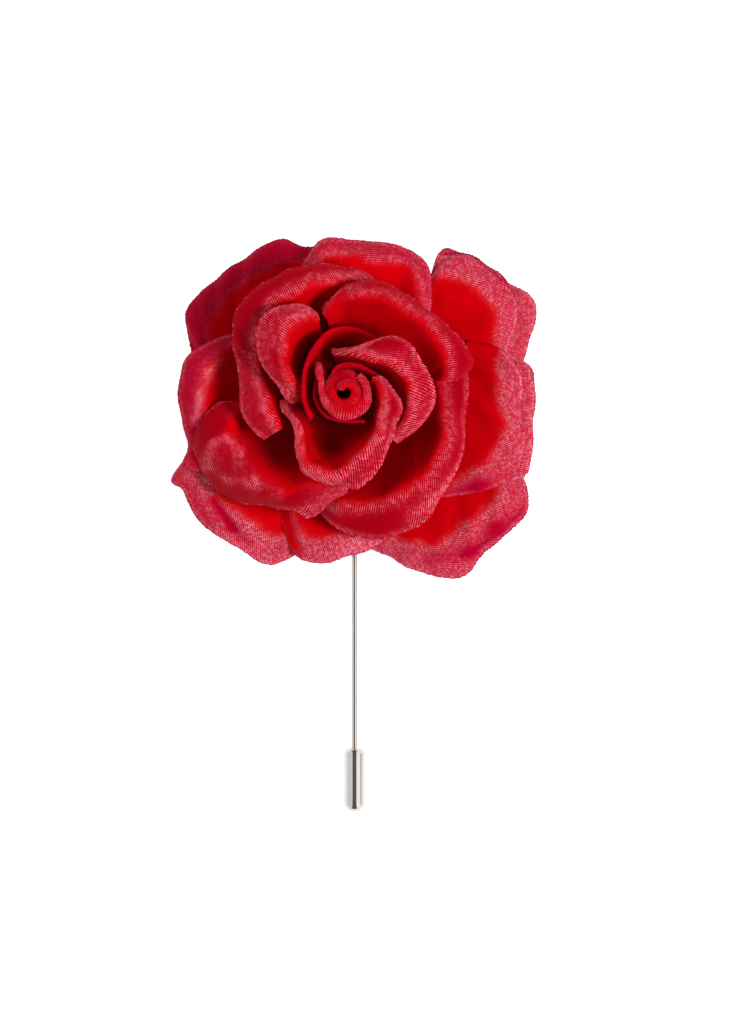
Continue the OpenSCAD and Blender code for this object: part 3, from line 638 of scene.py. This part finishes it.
outerPetal = {
    **anyPetal, "slot": "outer_cloth", "reach": flowerR, "foot": (0.16, 0.16),
    "belly": (0.45, 0.02), "round": 0.15, "steps": (240, 18, 16), "flare": 0.2,
    "shine": (0.75, 0.65, 0.95), "bandWide": 1.7, "ripple": (0.28, 6),
}
secondPetal = {
    **anyPetal, "slot": "second_cloth", "reach": flowerR, "foot": (0.20, 0.20),
    "belly": (0.55, 0.05), "round": 0.13, "steps": (230, 18, 16), "flare": 0.2,
    "shine": (0.75, 0.65, 0.95), "bandWide": 1.7, "ripple": (0.28, 6),
}
middlePetal = {
    **anyPetal, "slot": "middle_cloth", "reach": flowerR, "belly": (0.70, 0.12),
    "round": 0.12, "steps": (220, 22, 15), "flare": 0.4, "ripple": (0.22, 6),
}
innerPetal = {
    **anyPetal, "slot": "inner_cloth", "reach": flowerR / 2, "belly": (0.66, 0.25),
    "round": 0.15, "footWidth": 0.85, "steps": (210, 22, 14), "flare": 0.4,
    "ripple": (0.12, 5),
}
budWrap = {
    **anyPetal, "slot": "bud_cloth", "held": "folded", "reach": flowerR / 4,
    "belly": (0.80, 0.35), "round": 0.09, "footWidth": 0.90, "steps": (150, 24, 8),
    "flare": 0.4, "shine": (0.05, 0, 0), "ripple": (0.12, 5),
}

outerUpperLeft = {
    **outerPetal, "node": "outer_petal_upper_left", "flat": (53, 21), "cutShare": 0.65,
    "grain": 60, "seed": 1, "shine": (0.2, 0.08, 0.2), "bandWide": 1.2,
    "rows": [
        (84, .65, .24, .75, .23), (96, .69, .25, .81, .23), (105, .74, .26, .84, .22),
        (113, .79, .27, .93, .21), (125, .81, .28, .93, .20), (138, .83, .28, .95, .20),
        (150, .84, .27, .99, .19), (158, .81, .26, .94, .19), (166, .76, .25, .86, .19),
        (178, .71, .24, .81, .20),
    ],
}
makePetal(outerUpperLeft, shadeCloth)

outerUpperRight = {
    **outerPetal, "node": "outer_petal_upper_right", "flat": (47, 24), "cutShare": 0.6,
    "grain": 80, "seed": 2,
    "rows": [
        (-4, .76, .18, .85, .17), (3, .84, .19, .93, .17), (11, .91, .20, 1.01, .17),
        (17, .95, .22, 1.07, .19), (24, 1.01, .26, 1.16, .21), (28, 1.01, .27, 1.16, .22),
        (36, .94, .27, 1.08, .22), (45, .86, .26, .99, .22), (53, .70, .25, .79, .23),
        (60, .63, .24, .71, .23),
    ],
}
makePetal(outerUpperRight, outerCloth)

outerRight = {
    **outerPetal, "node": "outer_petal_right", "flat": (41, 25), "cutShare": 0.6,
    "foot": (0.20, 0.20), "grain": 0, "seed": 3,
    "rows": [
        (-38, .74, .29, .82, .27), (-32, .82, .30, .93, .28), (-25, .96, .31, 1.08, .26),
        (-19, .97, .30, 1.09, .25), (-12, .95, .30, 1.06, .25), (-5, .94, .30, 1.05, .25),
        (3, .94, .30, 1.05, .25), (8, .92, .29, 1.04, .25), (12, .87, .28, .97, .26),
        (18, .78, .27, .85, .26),
    ],
}
makePetal(outerRight, outerCloth)

outerLowerRight = {
    **outerPetal, "node": "outer_petal_lower_right", "flat": (58, 27), "cutShare": 0.6,
    "grain": -60, "seed": 4,
    "dents": [
        (20.3, -27.8, 27.5, -23.5, 0.6, 0.3), (27.5, -23.5, 31.2, -19.7, 0.6, 0.3),
        (7.6, -24.6, 16.1, -26.5, 1.5, -0.3), (21.8, -23.1, 27.5, -17.5, 1.5, -0.3),
    ],
    "lines": [
        (20.3, -27.8, 27.5, -23.5, 0.3, 0.9), (27.5, -23.5, 31.2, -19.7, 0.3, 0.8),
    ],
    "glow": [
        (14.6, -28.2, 22.0, -26.9, 1.6, -0.35), (22.0, -26.9, 27.1, -22.5, 1.6, -0.4),
        (27.1, -22.5, 31.8, -19.2, 1.6, -0.4),
    ],
    "rows": [
        (-90, .69, .22, .78, .19), (-78, .77, .24, .88, .19), (-71, .85, .25, .99, .19),
        (-63, .94, .26, 1.13, .19), (-57, .99, .27, 1.20, .19), (-48, .99, .27, 1.17, .20),
        (-39, 1.02, .26, 1.19, .20), (-32, 1.02, .24, 1.20, .19), (-25, .94, .22, 1.08, .18),
        (-14, .76, .19, .87, .17),
    ],
}
makePetal(outerLowerRight, outerCloth)

outerLowerLeft = {
    **outerPetal, "node": "outer_petal_lower_left", "flat": (52, 24), "cutShare": 0.6,
    "grain": -40, "seed": 5,
    "dents": [
        (-26.7, -17.1, -23.1, -22.4, 1.0, 0.5), (-23.1, -22.4, -20.1, -25.0, 1.0, 0.4),
    ],
    "glow": [
        (-26.7, -17.1, -23.1, -22.4, 1.0, -0.7), (-23.1, -22.4, -20.1, -25.0, 1.0, -0.6),
        (-22.0, -23.1, -17.5, -25.9, 2.0, 0.3), (-33.7, -13.3, -28.2, -21.2, 2.0, -0.3),
    ],
    "rows": [
        (187, .72, .23, .81, .20), (198, .81, .25, .89, .21), (203, .87, .255, .97, .21),
        (206.5, .91, .26, 1.075, .21), (210, .90, .265, 1.045, .21), (215, .90, .27, 1.055, .21),
        (222, .90, .27, 1.065, .21), (234, .89, .26, 1.04, .21), (244, .88, .25, 1.04, .21),
        (249, .82, .25, .99, .20), (254, .78, .23, .90, .20), (264, .69, .22, .78, .20),
    ],
}
makePetal(outerLowerLeft, outerCloth)

secondTop = {
    **secondPetal, "node": "second_petal_top", "flat": (40, 20), "cutShare": 0.65,
    "foot": (0.25, 0.25), "grain": 80, "seed": 6, "shine": (0.55, 0.3, 0.6), "bandWide": 1.2,
    "rows": [
        (44, .59, .42, .65, .41), (50, .66, .44, .73, .41), (56, .73, .45, .81, .39),
        (64, .78, .44, .87, .38), (75, .76, .43, .85, .37), (86, .76, .42, .85, .36),
        (98, .76, .40, .85, .35), (106, .69, .38, .78, .35), (116, .57, .35, .66, .34),
    ],
}
makePetal(secondTop, secondCloth)

secondUpperRight = {
    **secondPetal, "node": "second_petal_upper_right", "flat": (42, 25), "cutShare": 0.6,
    "foot": (0.24, 0.20), "lean": 25, "grain": 60, "seed": 7,
    "lines": [
        (29.3, 23.1, 34.2, 20.3, 0.3, 1), (33.7, 20.3, 33.7, 14.6, 0.3, 1),
        (16.3, 29.3, 21.8, 29.3, 0.2, 1), (21.8, 29.3, 29.3, 23.1, 0.2, 1),
        (16.3, 30.1, 21.8, 29.2, 0.35, 0.7), (21.8, 29.2, 25.8, 26.7, 0.35, 0.7),
        (25.8, 26.7, 28.8, 24.1, 0.35, 0.7), (28.8, 24.1, 30.5, 20.7, 0.35, 0.7),
    ],
    "rows": [
        (6, .75, .34, .82, .33), (14, .84, .35, .92, .33), (22, .91, .37, 1.01, .33),
        (29, .96, .39, 1.08, .32), (36, .95, .39, 1.08, .31), (44, .91, .39, 1.05, .30),
        (50, .86, .37, 1.01, .30), (51.4, .80, .35, 1.00, .30), (52.4, .75, .33, .965, .30),
        (52.7, .71, .32, .80, .30),
    ],
}
makePetal(secondUpperRight, secondCloth)

secondRight = {
    **secondPetal, "node": "second_petal_right", "flat": (41, 25), "cutShare": 0.6,
    "foot": (0.28, 0.28), "grain": 0, "seed": 8,
    "plain": [(19.5, 12.4, 27.0, 11.4, 2.2, 1)],
    "lines": [
        (31.4, 1.4, 31.8, -4.2, 0.3, 0.9), (20.5, 12.6, 29.0, 11.8, 0.8, -1),
    ],
    "glow": [
        (25.0, 10.8, 26.9, 14.6, 2.2, -1), (21.8, 11.8, 23.7, 14.6, 2.5, -1),
        (20.5, 12.6, 26.0, 12.2, 1.2, -0.8), (16.3, -16.3, 23.7, -15.0, 2.0, -0.5),
        (23.7, -15.0, 31.8, -12.7, 2.0, -0.35),
    ],
    "rows": [
        (-48, .71, .40, .75, .385), (-42, .77, .41, .84, .39), (-33, .82, .42, .95, .38),
        (-27, .86, .43, 1.03, .38), (-22, .89, .44, 1.05, .39), (-12, .92, .45, 1.01, .39),
        (-4, .86, .45, .98, .39), (5, .86, .44, .98, .39), (14, .83, .40, .91, .375),
        (22, .74, .35, .78, .335),
    ],
}
makePetal(secondRight, secondCloth)

secondBottom = {
    **secondPetal, "node": "second_petal_bottom", "flat": (35, 21), "cutShare": 0.65,
    "grain": 10, "seed": 9, "shine": (0.75, 0.7, 0.95),
    "plain": [(-13.5, -19.7, -12.3, -25.5, 2.2, 1)],
    "lines": [(-13.5, -19.7, -11.8, -27.5, 0.8, -1)],
    "glow": [
        (-13.5, -19.7, -11.8, -27.5, 2.0, -0.8), (-1.8, -27.3, 5.8, -25.9, 2.0, 0.35),
    ],
    "rows": [
        (237, .65, .25, .72, .235), (247, .72, .275, .82, .24), (254, .81, .32, .94, .27),
        (262, .82, .36, .94, .295), (270, .79, .37, .89, .31), (278, .78, .36, .87, .31),
        (287, .74, .33, .82, .30), (297, .65, .31, .72, .30),
    ],
}
makePetal(secondBottom, secondCloth)

secondLeft = {
    **secondPetal, "node": "second_petal_left", "flat": (41, 22), "cutShare": 0.65, "grain": 45,
    "seed": 10, "shine": (0.25, 0.12, 0.45), "bandWide": 1.2,
    "glow": [
        (-25.0, 9.3, -27.5, 6.7, 0.9, 0.5), (-27.5, 6.7, -29.0, 2.7, 0.9, 0.55),
        (-29.0, 2.7, -30.1, -2.0, 1.0, 0.5),
    ],
    "rows": [
        (150, .59, .34, .66, .33), (160, .71, .37, .81, .34), (166, .76, .40, .88, .34),
        (171, .79, .42, .91, .35), (180, .79, .44, .91, .35), (189, .79, .44, .90, .35),
        (198, .79, .42, .91, .34), (204, .84, .39, .96, .33), (209, .78, .36, .88, .32),
        (218, .69, .34, .78, .32),
    ],
}
makePetal(secondLeft, secondCloth)

middleUpperLeft = {
    **middlePetal, "node": "middle_petal_upper_left", "flat": (40, 22), "cutShare": 0.65,
    "foot": (0.31, 0.31), "grain": 8, "seed": 11, "shine": (0.7, 0.0, 0.12),
    "rows": [
        (68, .54, .58, .59, .57), (78, .60, .63, .65, .59), (90, .62, .67, .69, .60),
        (105, .62, .69, .72, .60), (120, .62, .70, .74, .59), (133, .61, .69, .75, .58),
        (144, .58, .68, .74, .57), (152, .55, .66, .69, .58), (157, .52, .65, .63, .59),
    ],
}
makePetal(middleUpperLeft, middleCloth)

middleLeft = {
    **middlePetal, "node": "middle_petal_left", "flat": (28, 18), "cutShare": 0.7,
    "foot": (0.26, 0.29), "belly": (0.72, 0.12), "footWidth": 0.85, "grain": 45, "seed": 12,
    "shine": (0.7, 0.2, 0.6),
    "rows": [
        (140, .55, .46, .62, .44), (148, .55, .49, .68, .44), (155, .54, .53, .68, .45),
        (161, .51, .58, .64, .50), (168, .48, .64, .59, .56), (179, .44, .68, .57, .59),
        (190, .42, .69, .57, .60), (200, .41, .67, .55, .59), (209, .41, .64, .50, .59),
    ],
}
makePetal(middleLeft, middleCloth)

middleLowerLeft = {
    **middlePetal, "node": "middle_petal_lower_left", "flat": (40, 22), "cutShare": 0.65,
    "foot": (0.24, 0.33), "belly": (0.75, 0.05), "round": 0.13, "flare": 0, "grain": -10,
    "seed": 13, "shine": (0.15, 0.05, 0.35),
    "dents": [
        (-24.2, -8.0, -23.3, -9.5, 1.6, 0.35), (-26.3, -8.4, -25.0, -6.1, 1.4, -0.2),
        (-21.6, -7.3, -20.5, -9.9, 1.6, -0.2),
    ],
    "plain": [(-21.6, -8.4, -17.5, -11.4, 2.5, -0.5)],
    "lines": [(-30.3, 1.4, -30.3, -6.1, 0.8, -1)],
    "glow": [
        (-29.2, -4.2, -30.1, 1.4, 2.5, -1), (-27.8, -10.3, -26.7, -6.5, 1.1, 0.45),
        (-26.7, -6.5, -23.9, -5.2, 1.1, 0.5), (-23.9, -5.2, -21.6, -8.0, 1.1, 0.45),
        (-21.6, -8.0, -22.0, -10.7, 1.1, 0.35), (-27.3, -11.0, -23.9, -13.7, 1.2, 0.45),
        (-23.9, -13.7, -18.8, -14.1, 1.3, 0.5), (-18.8, -14.1, -13.7, -15.9, 1.4, 0.5),
        (-9.3, -19.3, -1.8, -14.8, 1.6, 0.5), (-24.4, -4.2, -24.2, -4.8, 1.5, -0.4),
        (-26.7, -13.7, -23.1, -15.9, 2.0, -0.6), (-16.3, -15.2, -12.2, -15.6, 2.0, -0.3),
        (-26.9, -9.0, -25.8, -9.5, 1.5, 0.25),
    ],
    "rows": [
        (184, .56, .50, .70, .475), (191, .62, .52, .80, .47), (199, .70, .55, .87, .42),
        (207, .69, .58, .89, .39), (217, .66, .60, .87, .38), (228, .65, .60, .80, .42),
        (238, .64, .62, .73, .52), (247, .56, .64, .69, .55), (254, .52, .65, .70, .55),
        (262, .50, .65, .59, .59), (271, .49, .62, .54, .59),
    ],
}
makePetal(middleLowerLeft, middleCloth)

middleLowerRight = {
    **middlePetal, "node": "middle_petal_lower_right", "flat": (51, 23), "cutShare": 0.65,
    "foot": (0.29, 0.34), "grain": 40, "seed": 14, "shine": (0.6, 0.0, 0.45),
    "glow": [
        (11.0, -20.0, 14.9, -17.0, 1.5, 0.7), (14.9, -17.0, 19.0, -12.0, 1.4, 0.5),
    ],
    "rows": [
        (259, .58, .47, .66, .43), (269, .61, .53, .75, .44), (280, .62, .58, .81, .46),
        (291, .63, .62, .82, .49), (302, .63, .64, .83, .50), (312, .64, .66, .77, .53),
        (324, .62, .67, .74, .55), (336, .61, .67, .71, .56), (348, .56, .65, .67, .56),
        (359, .54, .63, .67, .54), (369, .53, .60, .68, .51),
    ],
}
makePetal(middleLowerRight, middleCloth)

middleTop = {
    **middlePetal, "node": "middle_petal_top", "flat": (40, 21), "cutShare": 0.65,
    "foot": (0.38, 0.35), "belly": (0.66, 0.15), "round": 0.13, "footWidth": 0.82, "grain": 20,
    "seed": 15, "shine": (0.5, 0.0, 0.12), "bandWide": 1.0,
    "rows": [
        (7, .55, .73, .61, .68), (13, .59, .75, .72, .66), (20, .59, .77, .70, .68),
        (31, .59, .78, .67, .70), (44, .58, .79, .64, .71), (57, .56, .79, .62, .71),
        (70, .56, .79, .63, .71), (82, .54, .79, .61, .72), (91, .53, .77, .56, .73),
        (99, .48, .75, .51, .73), (104, .45, .71, .48, .70),
    ],
}
makePetal(middleTop, middleCloth)

innerLeft = {
    **innerPetal, "node": "inner_petal_left", "flat": (29, 19), "cutShare": 0.65,
    "foot": (0.37, 0.37), "grain": 10, "seed": 16, "shine": (0.85, 0.4, 0.75),
    "glow": [(-14.4, 9.7, -13.3, 6.7, 1.3, -0.5)],
    "rows": [
        (110, .85, .73, .92, .71), (116, .93, .78, 1.05, .74), (124, .95, .81, 1.14, .74),
        (134, .91, .83, 1.21, .74), (144, .82, .84, 1.18, .74), (153, .75, .85, 1.05, .76),
        (162, .65, .85, .92, .77), (172, .56, .84, .74, .79), (182, .54, .82, .65, .79),
        (190, .54, .78, .58, .77),
    ],
}
makePetal(innerLeft, innerCloth)

innerRight = {
    **innerPetal, "node": "inner_petal_right", "flat": (39, 18), "cutShare": 0.65,
    "foot": (0.39, 0.47), "grain": 45, "seed": 17, "shine": (0.85, 0.35, 0.85),
    "glow": [(3.9, 11.8, 9.5, 12.4, 1.6, -0.35)],
    "rows": [
        (-43, .71, .76, .78, .74), (-34, .71, .79, .83, .74), (-22, .73, .82, .89, .75),
        (-10, .74, .85, .96, .76), (0, .74, .88, .98, .79), (12, .71, .89, .93, .81),
        (25, .64, .91, .89, .82), (38, .55, .91, .87, .82), (50, .48, .91, .79, .83),
        (64, .45, .90, .58, .86), (78, .44, .87, .49, .85), (92, .44, .82, .47, .81),
        (104, .46, .74, .49, .73),
    ],
}
makePetal(innerRight, innerCloth)

innerBottom = {
    **innerPetal, "node": "inner_petal_bottom", "flat": (51, 16), "cutShare": 0.7,
    "foot": (0.33, 0.51), "belly": (0.74, 0.15), "round": 0.13, "grain": 35, "seed": 18,
    "shine": (0.85, 0.35, 0.85),
    "glow": [(4.4, 5.6, 7.6, -0.5, 1.5, -0.3)],
    "rows": [
        (188, .67, .63, .71, .62), (198, .65, .68, .70, .67), (210, .62, .73, .66, .72),
        (222, .66, .76, .71, .75), (233, .79, .78, .85, .76), (245, .90, .79, .97, .75),
        (256, .91, .80, 1.00, .75), (267, .88, .81, .98, .75), (277, .76, .83, 1.05, .75),
        (286, .68, .85, .98, .76), (298, .62, .86, .85, .78), (314, .55, .88, .72, .81),
        (330, .45, .90, .66, .87), (345, .42, .91, .65, .88), (360, .40, .91, .54, .87),
        (374, .38, .91, .47, .89), (385, .35, .89, .41, .88),
    ],
}
makePetal(innerBottom, innerCloth)

budOuter = {
    **budWrap, "node": "bud_wrap_outer", "flat": (32, 13), "cutShare": 0.75,
    "foot": (0.40, 0.43), "grain": 30, "seed": 19,
    "rows": [
        (62, 1.41, .56, 1.427, .561), (78, 1.45, .61, 1.471, .611), (94, 1.46, .66, 1.481, .661),
        (108, 1.4, .72, 1.421, .721), (120, 1.27, .8, 1.291, .801),
        (133, 1.15, .85, 1.167, .851), (148, 1.05, .88, 1.064, .881),
        (165, .96, .89, .974, .891), (185, .94, .89, .954, .891), (205, .94, .87, .954, .871),
        (216, .96, .83, .974, .831),
    ],
}
makePetal(budOuter, budCloth)

budSecond = {
    **budWrap, "node": "bud_wrap_second", "flat": (17, 12), "cutShare": 0.9,
    "foot": (0.47, 0.49), "grain": 60, "seed": 20,
    "rows": [
        (154, .71, .84, .717, .841), (168, .68, .87, .691, .871), (186, .68, .89, .691, .891),
        (210, .68, .89, .691, .891), (232, .68, .89, .694, .891), (252, .66, .88, .67, .881),
        (272, .66, .88, .67, .881), (290, .71, .87, .728, .871), (303, .78, .85, .801, .851),
    ],
}
makePetal(budSecond, budCloth)

budThird = {
    **budWrap, "node": "bud_wrap_third", "flat": (26, 12), "cutShare": 0.8, "foot": (0.54, 0.57),
    "belly": (0.72, 0.40), "grain": 30, "seed": 21, "shine": (0.3, 0.1, 0.6),
    "rows": [
        (132, .84, .82, .86, .81), (142, .71, .88, .73, .87), (156, .56, .92, .6, .91),
        (172, .49, .94, .55, .93), (195, .44, .95, .52, .94), (225, .41, .96, .52, .94),
        (255, .39, .97, .55, .94), (285, .39, .97, .58, .94), (312, .4, .97, .59, .93),
        (335, .42, .96, .58, .93), (358, .43, .95, .55, .93), (385, .44, .95, .52, .93),
        (408, .44, .93, .5, .92),
    ],
}
makePetal(budThird, budCloth)

budInner = {
    **budWrap, "node": "bud_wrap_inner", "flat": (14, 12), "cutShare": 0.75,
    "foot": (0.48, 0.56), "belly": (0.68, 0.40), "grain": 80, "seed": 22,
    "rows": [
        (26, .85, .81, .857, .811), (36, .79, .87, .797, .871), (48, .73, .91, .74, .911),
        (66, .68, .94, .698, .941), (88, .64, .95, .654, .951), (110, .58, .94, .594, .941),
        (122, .49, .92, .5, .921), (130, .45, .89, .454, .891),
    ],
}
makePetal(budInner, budCloth)

budRoll = {
    **budWrap, "node": "bud_roll", "flat": (22, 14), "cutShare": 0.9, "foot": (0.60, 0.61),
    "belly": (0.50, 0.50), "footWidth": 1.00, "flare": 0, "grain": 25, "steps": (240, 16, 8),
    "seed": 31, "shine": (0.05, 0, 0.2), "ripple": (0.06, 4),
    "rows": [
        (40, .30, .93, .44, .90), (80, .28, .94, .45, .91), (120, .26, .95, .44, .92),
        (160, .25, .955, .40, .93), (200, .24, .96, .36, .94), (240, .23, .965, .34, .945),
        (280, .22, .97, .33, .95), (320, .21, .975, .32, .955), (360, .20, .98, .31, .96),
        (400, .18, .985, .29, .965), (440, .16, .985, .26, .97), (480, .12, .985, .22, .97),
        (510, .10, .98, .18, .97),
    ],
}
makePetal(budRoll, budCloth)
print("petals cut")


# Felt base

felt = {
    "deep": (0.055, 0.0, 0.003, 1), "pale": (0.22, 0.004, 0.014, 1), "deepTo": 0.3,
    "paleFrom": 0.7, "fine": 2600.0, "fineShare": 0.6, "coarse": 420.0, "coarseShare": 0.4,
}


def makeFelt():
    # Matted wool: fine and coarse noise added by their shares, for its colour and its nap
    material, tree = newMaterial("feltBacking")
    place = addNode(tree, "ShaderNodeTexCoord", (-4, 0)).outputs["Object"]
    fine = addNode(tree, "ShaderNodeTexNoise", (-3, 1), {
        "Scale": felt["fine"], "Detail": 4.0, "Distortion": 1.5}, {"Vector": place})
    coarse = addNode(tree, "ShaderNodeTexNoise", (-3, -1), {
        "Scale": felt["coarse"], "Detail": 3.0}, {"Vector": place})
    slow = addNode(tree, "ShaderNodeMath", (-3, -2), {
        "operation": "MULTIPLY", 1: felt["coarseShare"]}, {0: coarse.outputs[0]})
    both = addNode(tree, "ShaderNodeMath", (-2, 0), {
        "operation": "MULTIPLY_ADD", 1: felt["fineShare"]},
        {0: fine.outputs[0], 2: slow.outputs[0]})
    ramp = addNode(tree, "ShaderNodeValToRGB", (-1, 0), links={0: both.outputs[0]})
    deep, pale = ramp.color_ramp.elements
    deep.position, deep.color = felt["deepTo"], felt["deep"]
    pale.position, pale.color = felt["paleFrom"], felt["pale"]
    bump = addNode(tree, "ShaderNodeBump", (0, -1), {"Strength": 0.7, "Distance": 0.00025},
                   {"Height": both.outputs[0]})
    shade = addNode(tree, "ShaderNodeBsdfPrincipled", (1, 0), {
        "Roughness": 0.95, "Sheen Weight": 0.1, "Sheen Roughness": 0.6,
        "Sheen Tint": (1, 0.15, 0.2, 1), "Specular IOR Level": 0.1},
        {"Base Color": ramp.outputs[0], "Normal": bump.outputs[0]})
    addNode(tree, "ShaderNodeOutputMaterial", (3, 0), links={0: shade.outputs[0]})
    return material


def dressNode(node, material):
    # Gives a piece that comes from the CAD model its one material
    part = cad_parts[node]
    part.data.materials.clear()
    part.data.materials.append(material)


dressNode("flower_base", makeFelt())
print("base dressed")


# Needle and clutch

# Distances run from the base's centre along -Y. "round" is the number of points round a piece
needle = {
    "node": "needle", "slot": "needle_metal", "radius": 0.575, "tip": 0.08, "from": -5.95,
    "point": 70.6, "to": 73.0, "round": 48, "colour": (0.80, 0.79, 0.78, 1), "polish": 0.10,
}
clutch = {
    "node": "clutch", "slot": "clutch_metal", "radius": 1.9, "from": 64.4, "length": 12,
    "mouth": 1.1, "end": 1.7, "bore": 0.625, "depth": 9.1, "round": 96,
    "colour": (0.86, 0.84, 0.81, 1), "polish": 0.08,
}
nickel = {"cloud": (0.72, 0.70, 0.67, 1), "clouds": 240.0, "cloudRough": 0.08,
          "lines": 5200.0, "stretch": (1, 0.06, 1)}


def makeSteelFinish():
    # Polished nickel: fine noise stretched along Y for its drawn lines, and a slow noise that
    # clouds its colour and adds to its roughness
    group = bpy.data.node_groups.new("steelFinish", "ShaderNodeTree")
    face = group.interface
    face.new_socket("Place", in_out="INPUT", socket_type="NodeSocketVector")
    face.new_socket("Metal", in_out="INPUT", socket_type="NodeSocketColor")
    face.new_socket("Polish", in_out="INPUT", socket_type="NodeSocketFloat")
    face.new_socket("Colour", in_out="OUTPUT", socket_type="NodeSocketColor")
    face.new_socket("Roughness", in_out="OUTPUT", socket_type="NodeSocketFloat")
    face.new_socket("Height", in_out="OUTPUT", socket_type="NodeSocketFloat")
    given = addNode(group, "NodeGroupInput", (-5, 0)).outputs
    drawn = addNode(group, "ShaderNodeMapping", (-4, 1), {"Scale": nickel["stretch"]},
                    {"Vector": given["Place"]})
    lines = addNode(group, "ShaderNodeTexNoise", (-3, 1), {
        "Scale": nickel["lines"], "Detail": 2.0}, {"Vector": drawn.outputs[0]})
    cloud = addNode(group, "ShaderNodeTexNoise", (-3, -1), {
        "Scale": nickel["clouds"], "Detail": 3.0}, {"Vector": given["Place"]}).outputs[0]
    tint = mixColours(group, (-1, 1), cloud, given["Metal"], nickel["cloud"])
    rough = addNode(group, "ShaderNodeMath", (-1, -1), {
        "operation": "MULTIPLY_ADD", 1: nickel["cloudRough"]}, {0: cloud, 2: given["Polish"]})
    addNode(group, "NodeGroupOutput", (1, 0), links={
        "Colour": tint, "Roughness": rough.outputs[0], "Height": lines.outputs[0]})
    return group


def makeSteel(name, part):
    # Metal with the finish's colour, roughness and faint drawn lines, from the part's own
    # colour and polish
    material, tree = newMaterial(name)
    place = addNode(tree, "ShaderNodeTexCoord", (-2, 0)).outputs["Object"]
    finish = addNode(tree, "ShaderNodeGroup", (-1, 0), {"node_tree": steelFinish},
                     {"Place": place})
    finish.inputs["Metal"].default_value = part["colour"]
    finish.inputs["Polish"].default_value = part["polish"]
    bump = addNode(tree, "ShaderNodeBump", (0, -1), {"Strength": 0.01, "Distance": 0.00001},
                   {"Height": finish.outputs["Height"]})
    shade = addNode(tree, "ShaderNodeBsdfPrincipled", (1, 0), {"Metallic": 1.0}, {
        "Base Color": finish.outputs["Colour"], "Roughness": finish.outputs["Roughness"],
        "Normal": bump.outputs[0]})
    addNode(tree, "ShaderNodeOutputMaterial", (3, 0), links={0: shade.outputs[0]})
    return material


steelFinish = makeSteelFinish()


def turnPiece(name, outline, material, part, body):
    # Turned piece on the needle's axis: an outline of (distance along -Y, radius) carried
    # round in a circle, closed at both ends where the radius is nothing
    along, radius = np.array(outline, float).T
    turn = np.linspace(0, 2 * np.pi, part["round"], endpoint=False)[:, None]
    points = np.dstack([radius * np.cos(turn), 0 * turn - along, needleZ + radius * np.sin(turn)])
    index = np.arange(part["round"] * len(along)).reshape(part["round"], len(along))
    after = np.roll(index, -1, axis=0)
    faces = np.stack([index[:, :-1], after[:, :-1], after[:, 1:], index[:, 1:]], -1).reshape(-1, 4)
    piece = fillMesh(name, points.reshape(-1, 3), faces)
    weldEnds(piece)
    piece.data.materials.append(material)
    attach(piece, body)
    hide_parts(part["node"])


def weldEnds(piece):
    # Joins the points that meet at the two poles, turns all faces outwards, and marks the
    # metal's sharp edges
    form = bmesh.new()
    form.from_mesh(piece.data)
    bmesh.ops.remove_doubles(form, verts=form.verts, dist=1e-7)
    bmesh.ops.recalc_face_normals(form, faces=form.faces)
    form.to_mesh(piece.data)
    form.free()
    piece.data.set_sharp_from_angle(angle=math.radians(metalSmooth))


def arcOutline(along, radius, size, start, stop, steps=12):
    # Rounded corner in an outline, as a part of a circle between two angles in degrees
    turn = np.radians(np.linspace(start, stop, steps + 1))
    return [(along + size * a, radius + size * b) for a, b in zip(np.cos(turn), np.sin(turn))]


def needleOutline(n):
    # Plain shaft, then a straight cone to the blunt tip
    return [(n["from"], 0), (n["from"], n["radius"]), (n["point"], n["radius"]),
            (n["to"], n["tip"]), (n["to"], 0)]


def clutchOutline(c):
    # From the bottom of the bore out to the mouth, round the mouth's corner, along the tube
    # and round its closed end
    start, stop = c["from"], c["from"] + c["length"]
    return ([(start + c["depth"], 0), (start + c["depth"], c["bore"]), (start, c["bore"])]
            + arcOutline(start + c["mouth"], c["radius"] - c["mouth"], c["mouth"], 180, 90)
            + arcOutline(stop - c["end"], c["radius"] - c["end"], c["end"], 90, 0)
            + [(stop, 0)])


needleNickel = makeSteel("needleNickel", needle)
clutchNickel = makeSteel("clutchNickel", clutch)
turnPiece("needleShaft", needleOutline(needle), needleNickel, needle, "flower")
turnPiece("clutchShell", clutchOutline(clutch), clutchNickel, clutch, "clutch")
print("needle and clutch turned")
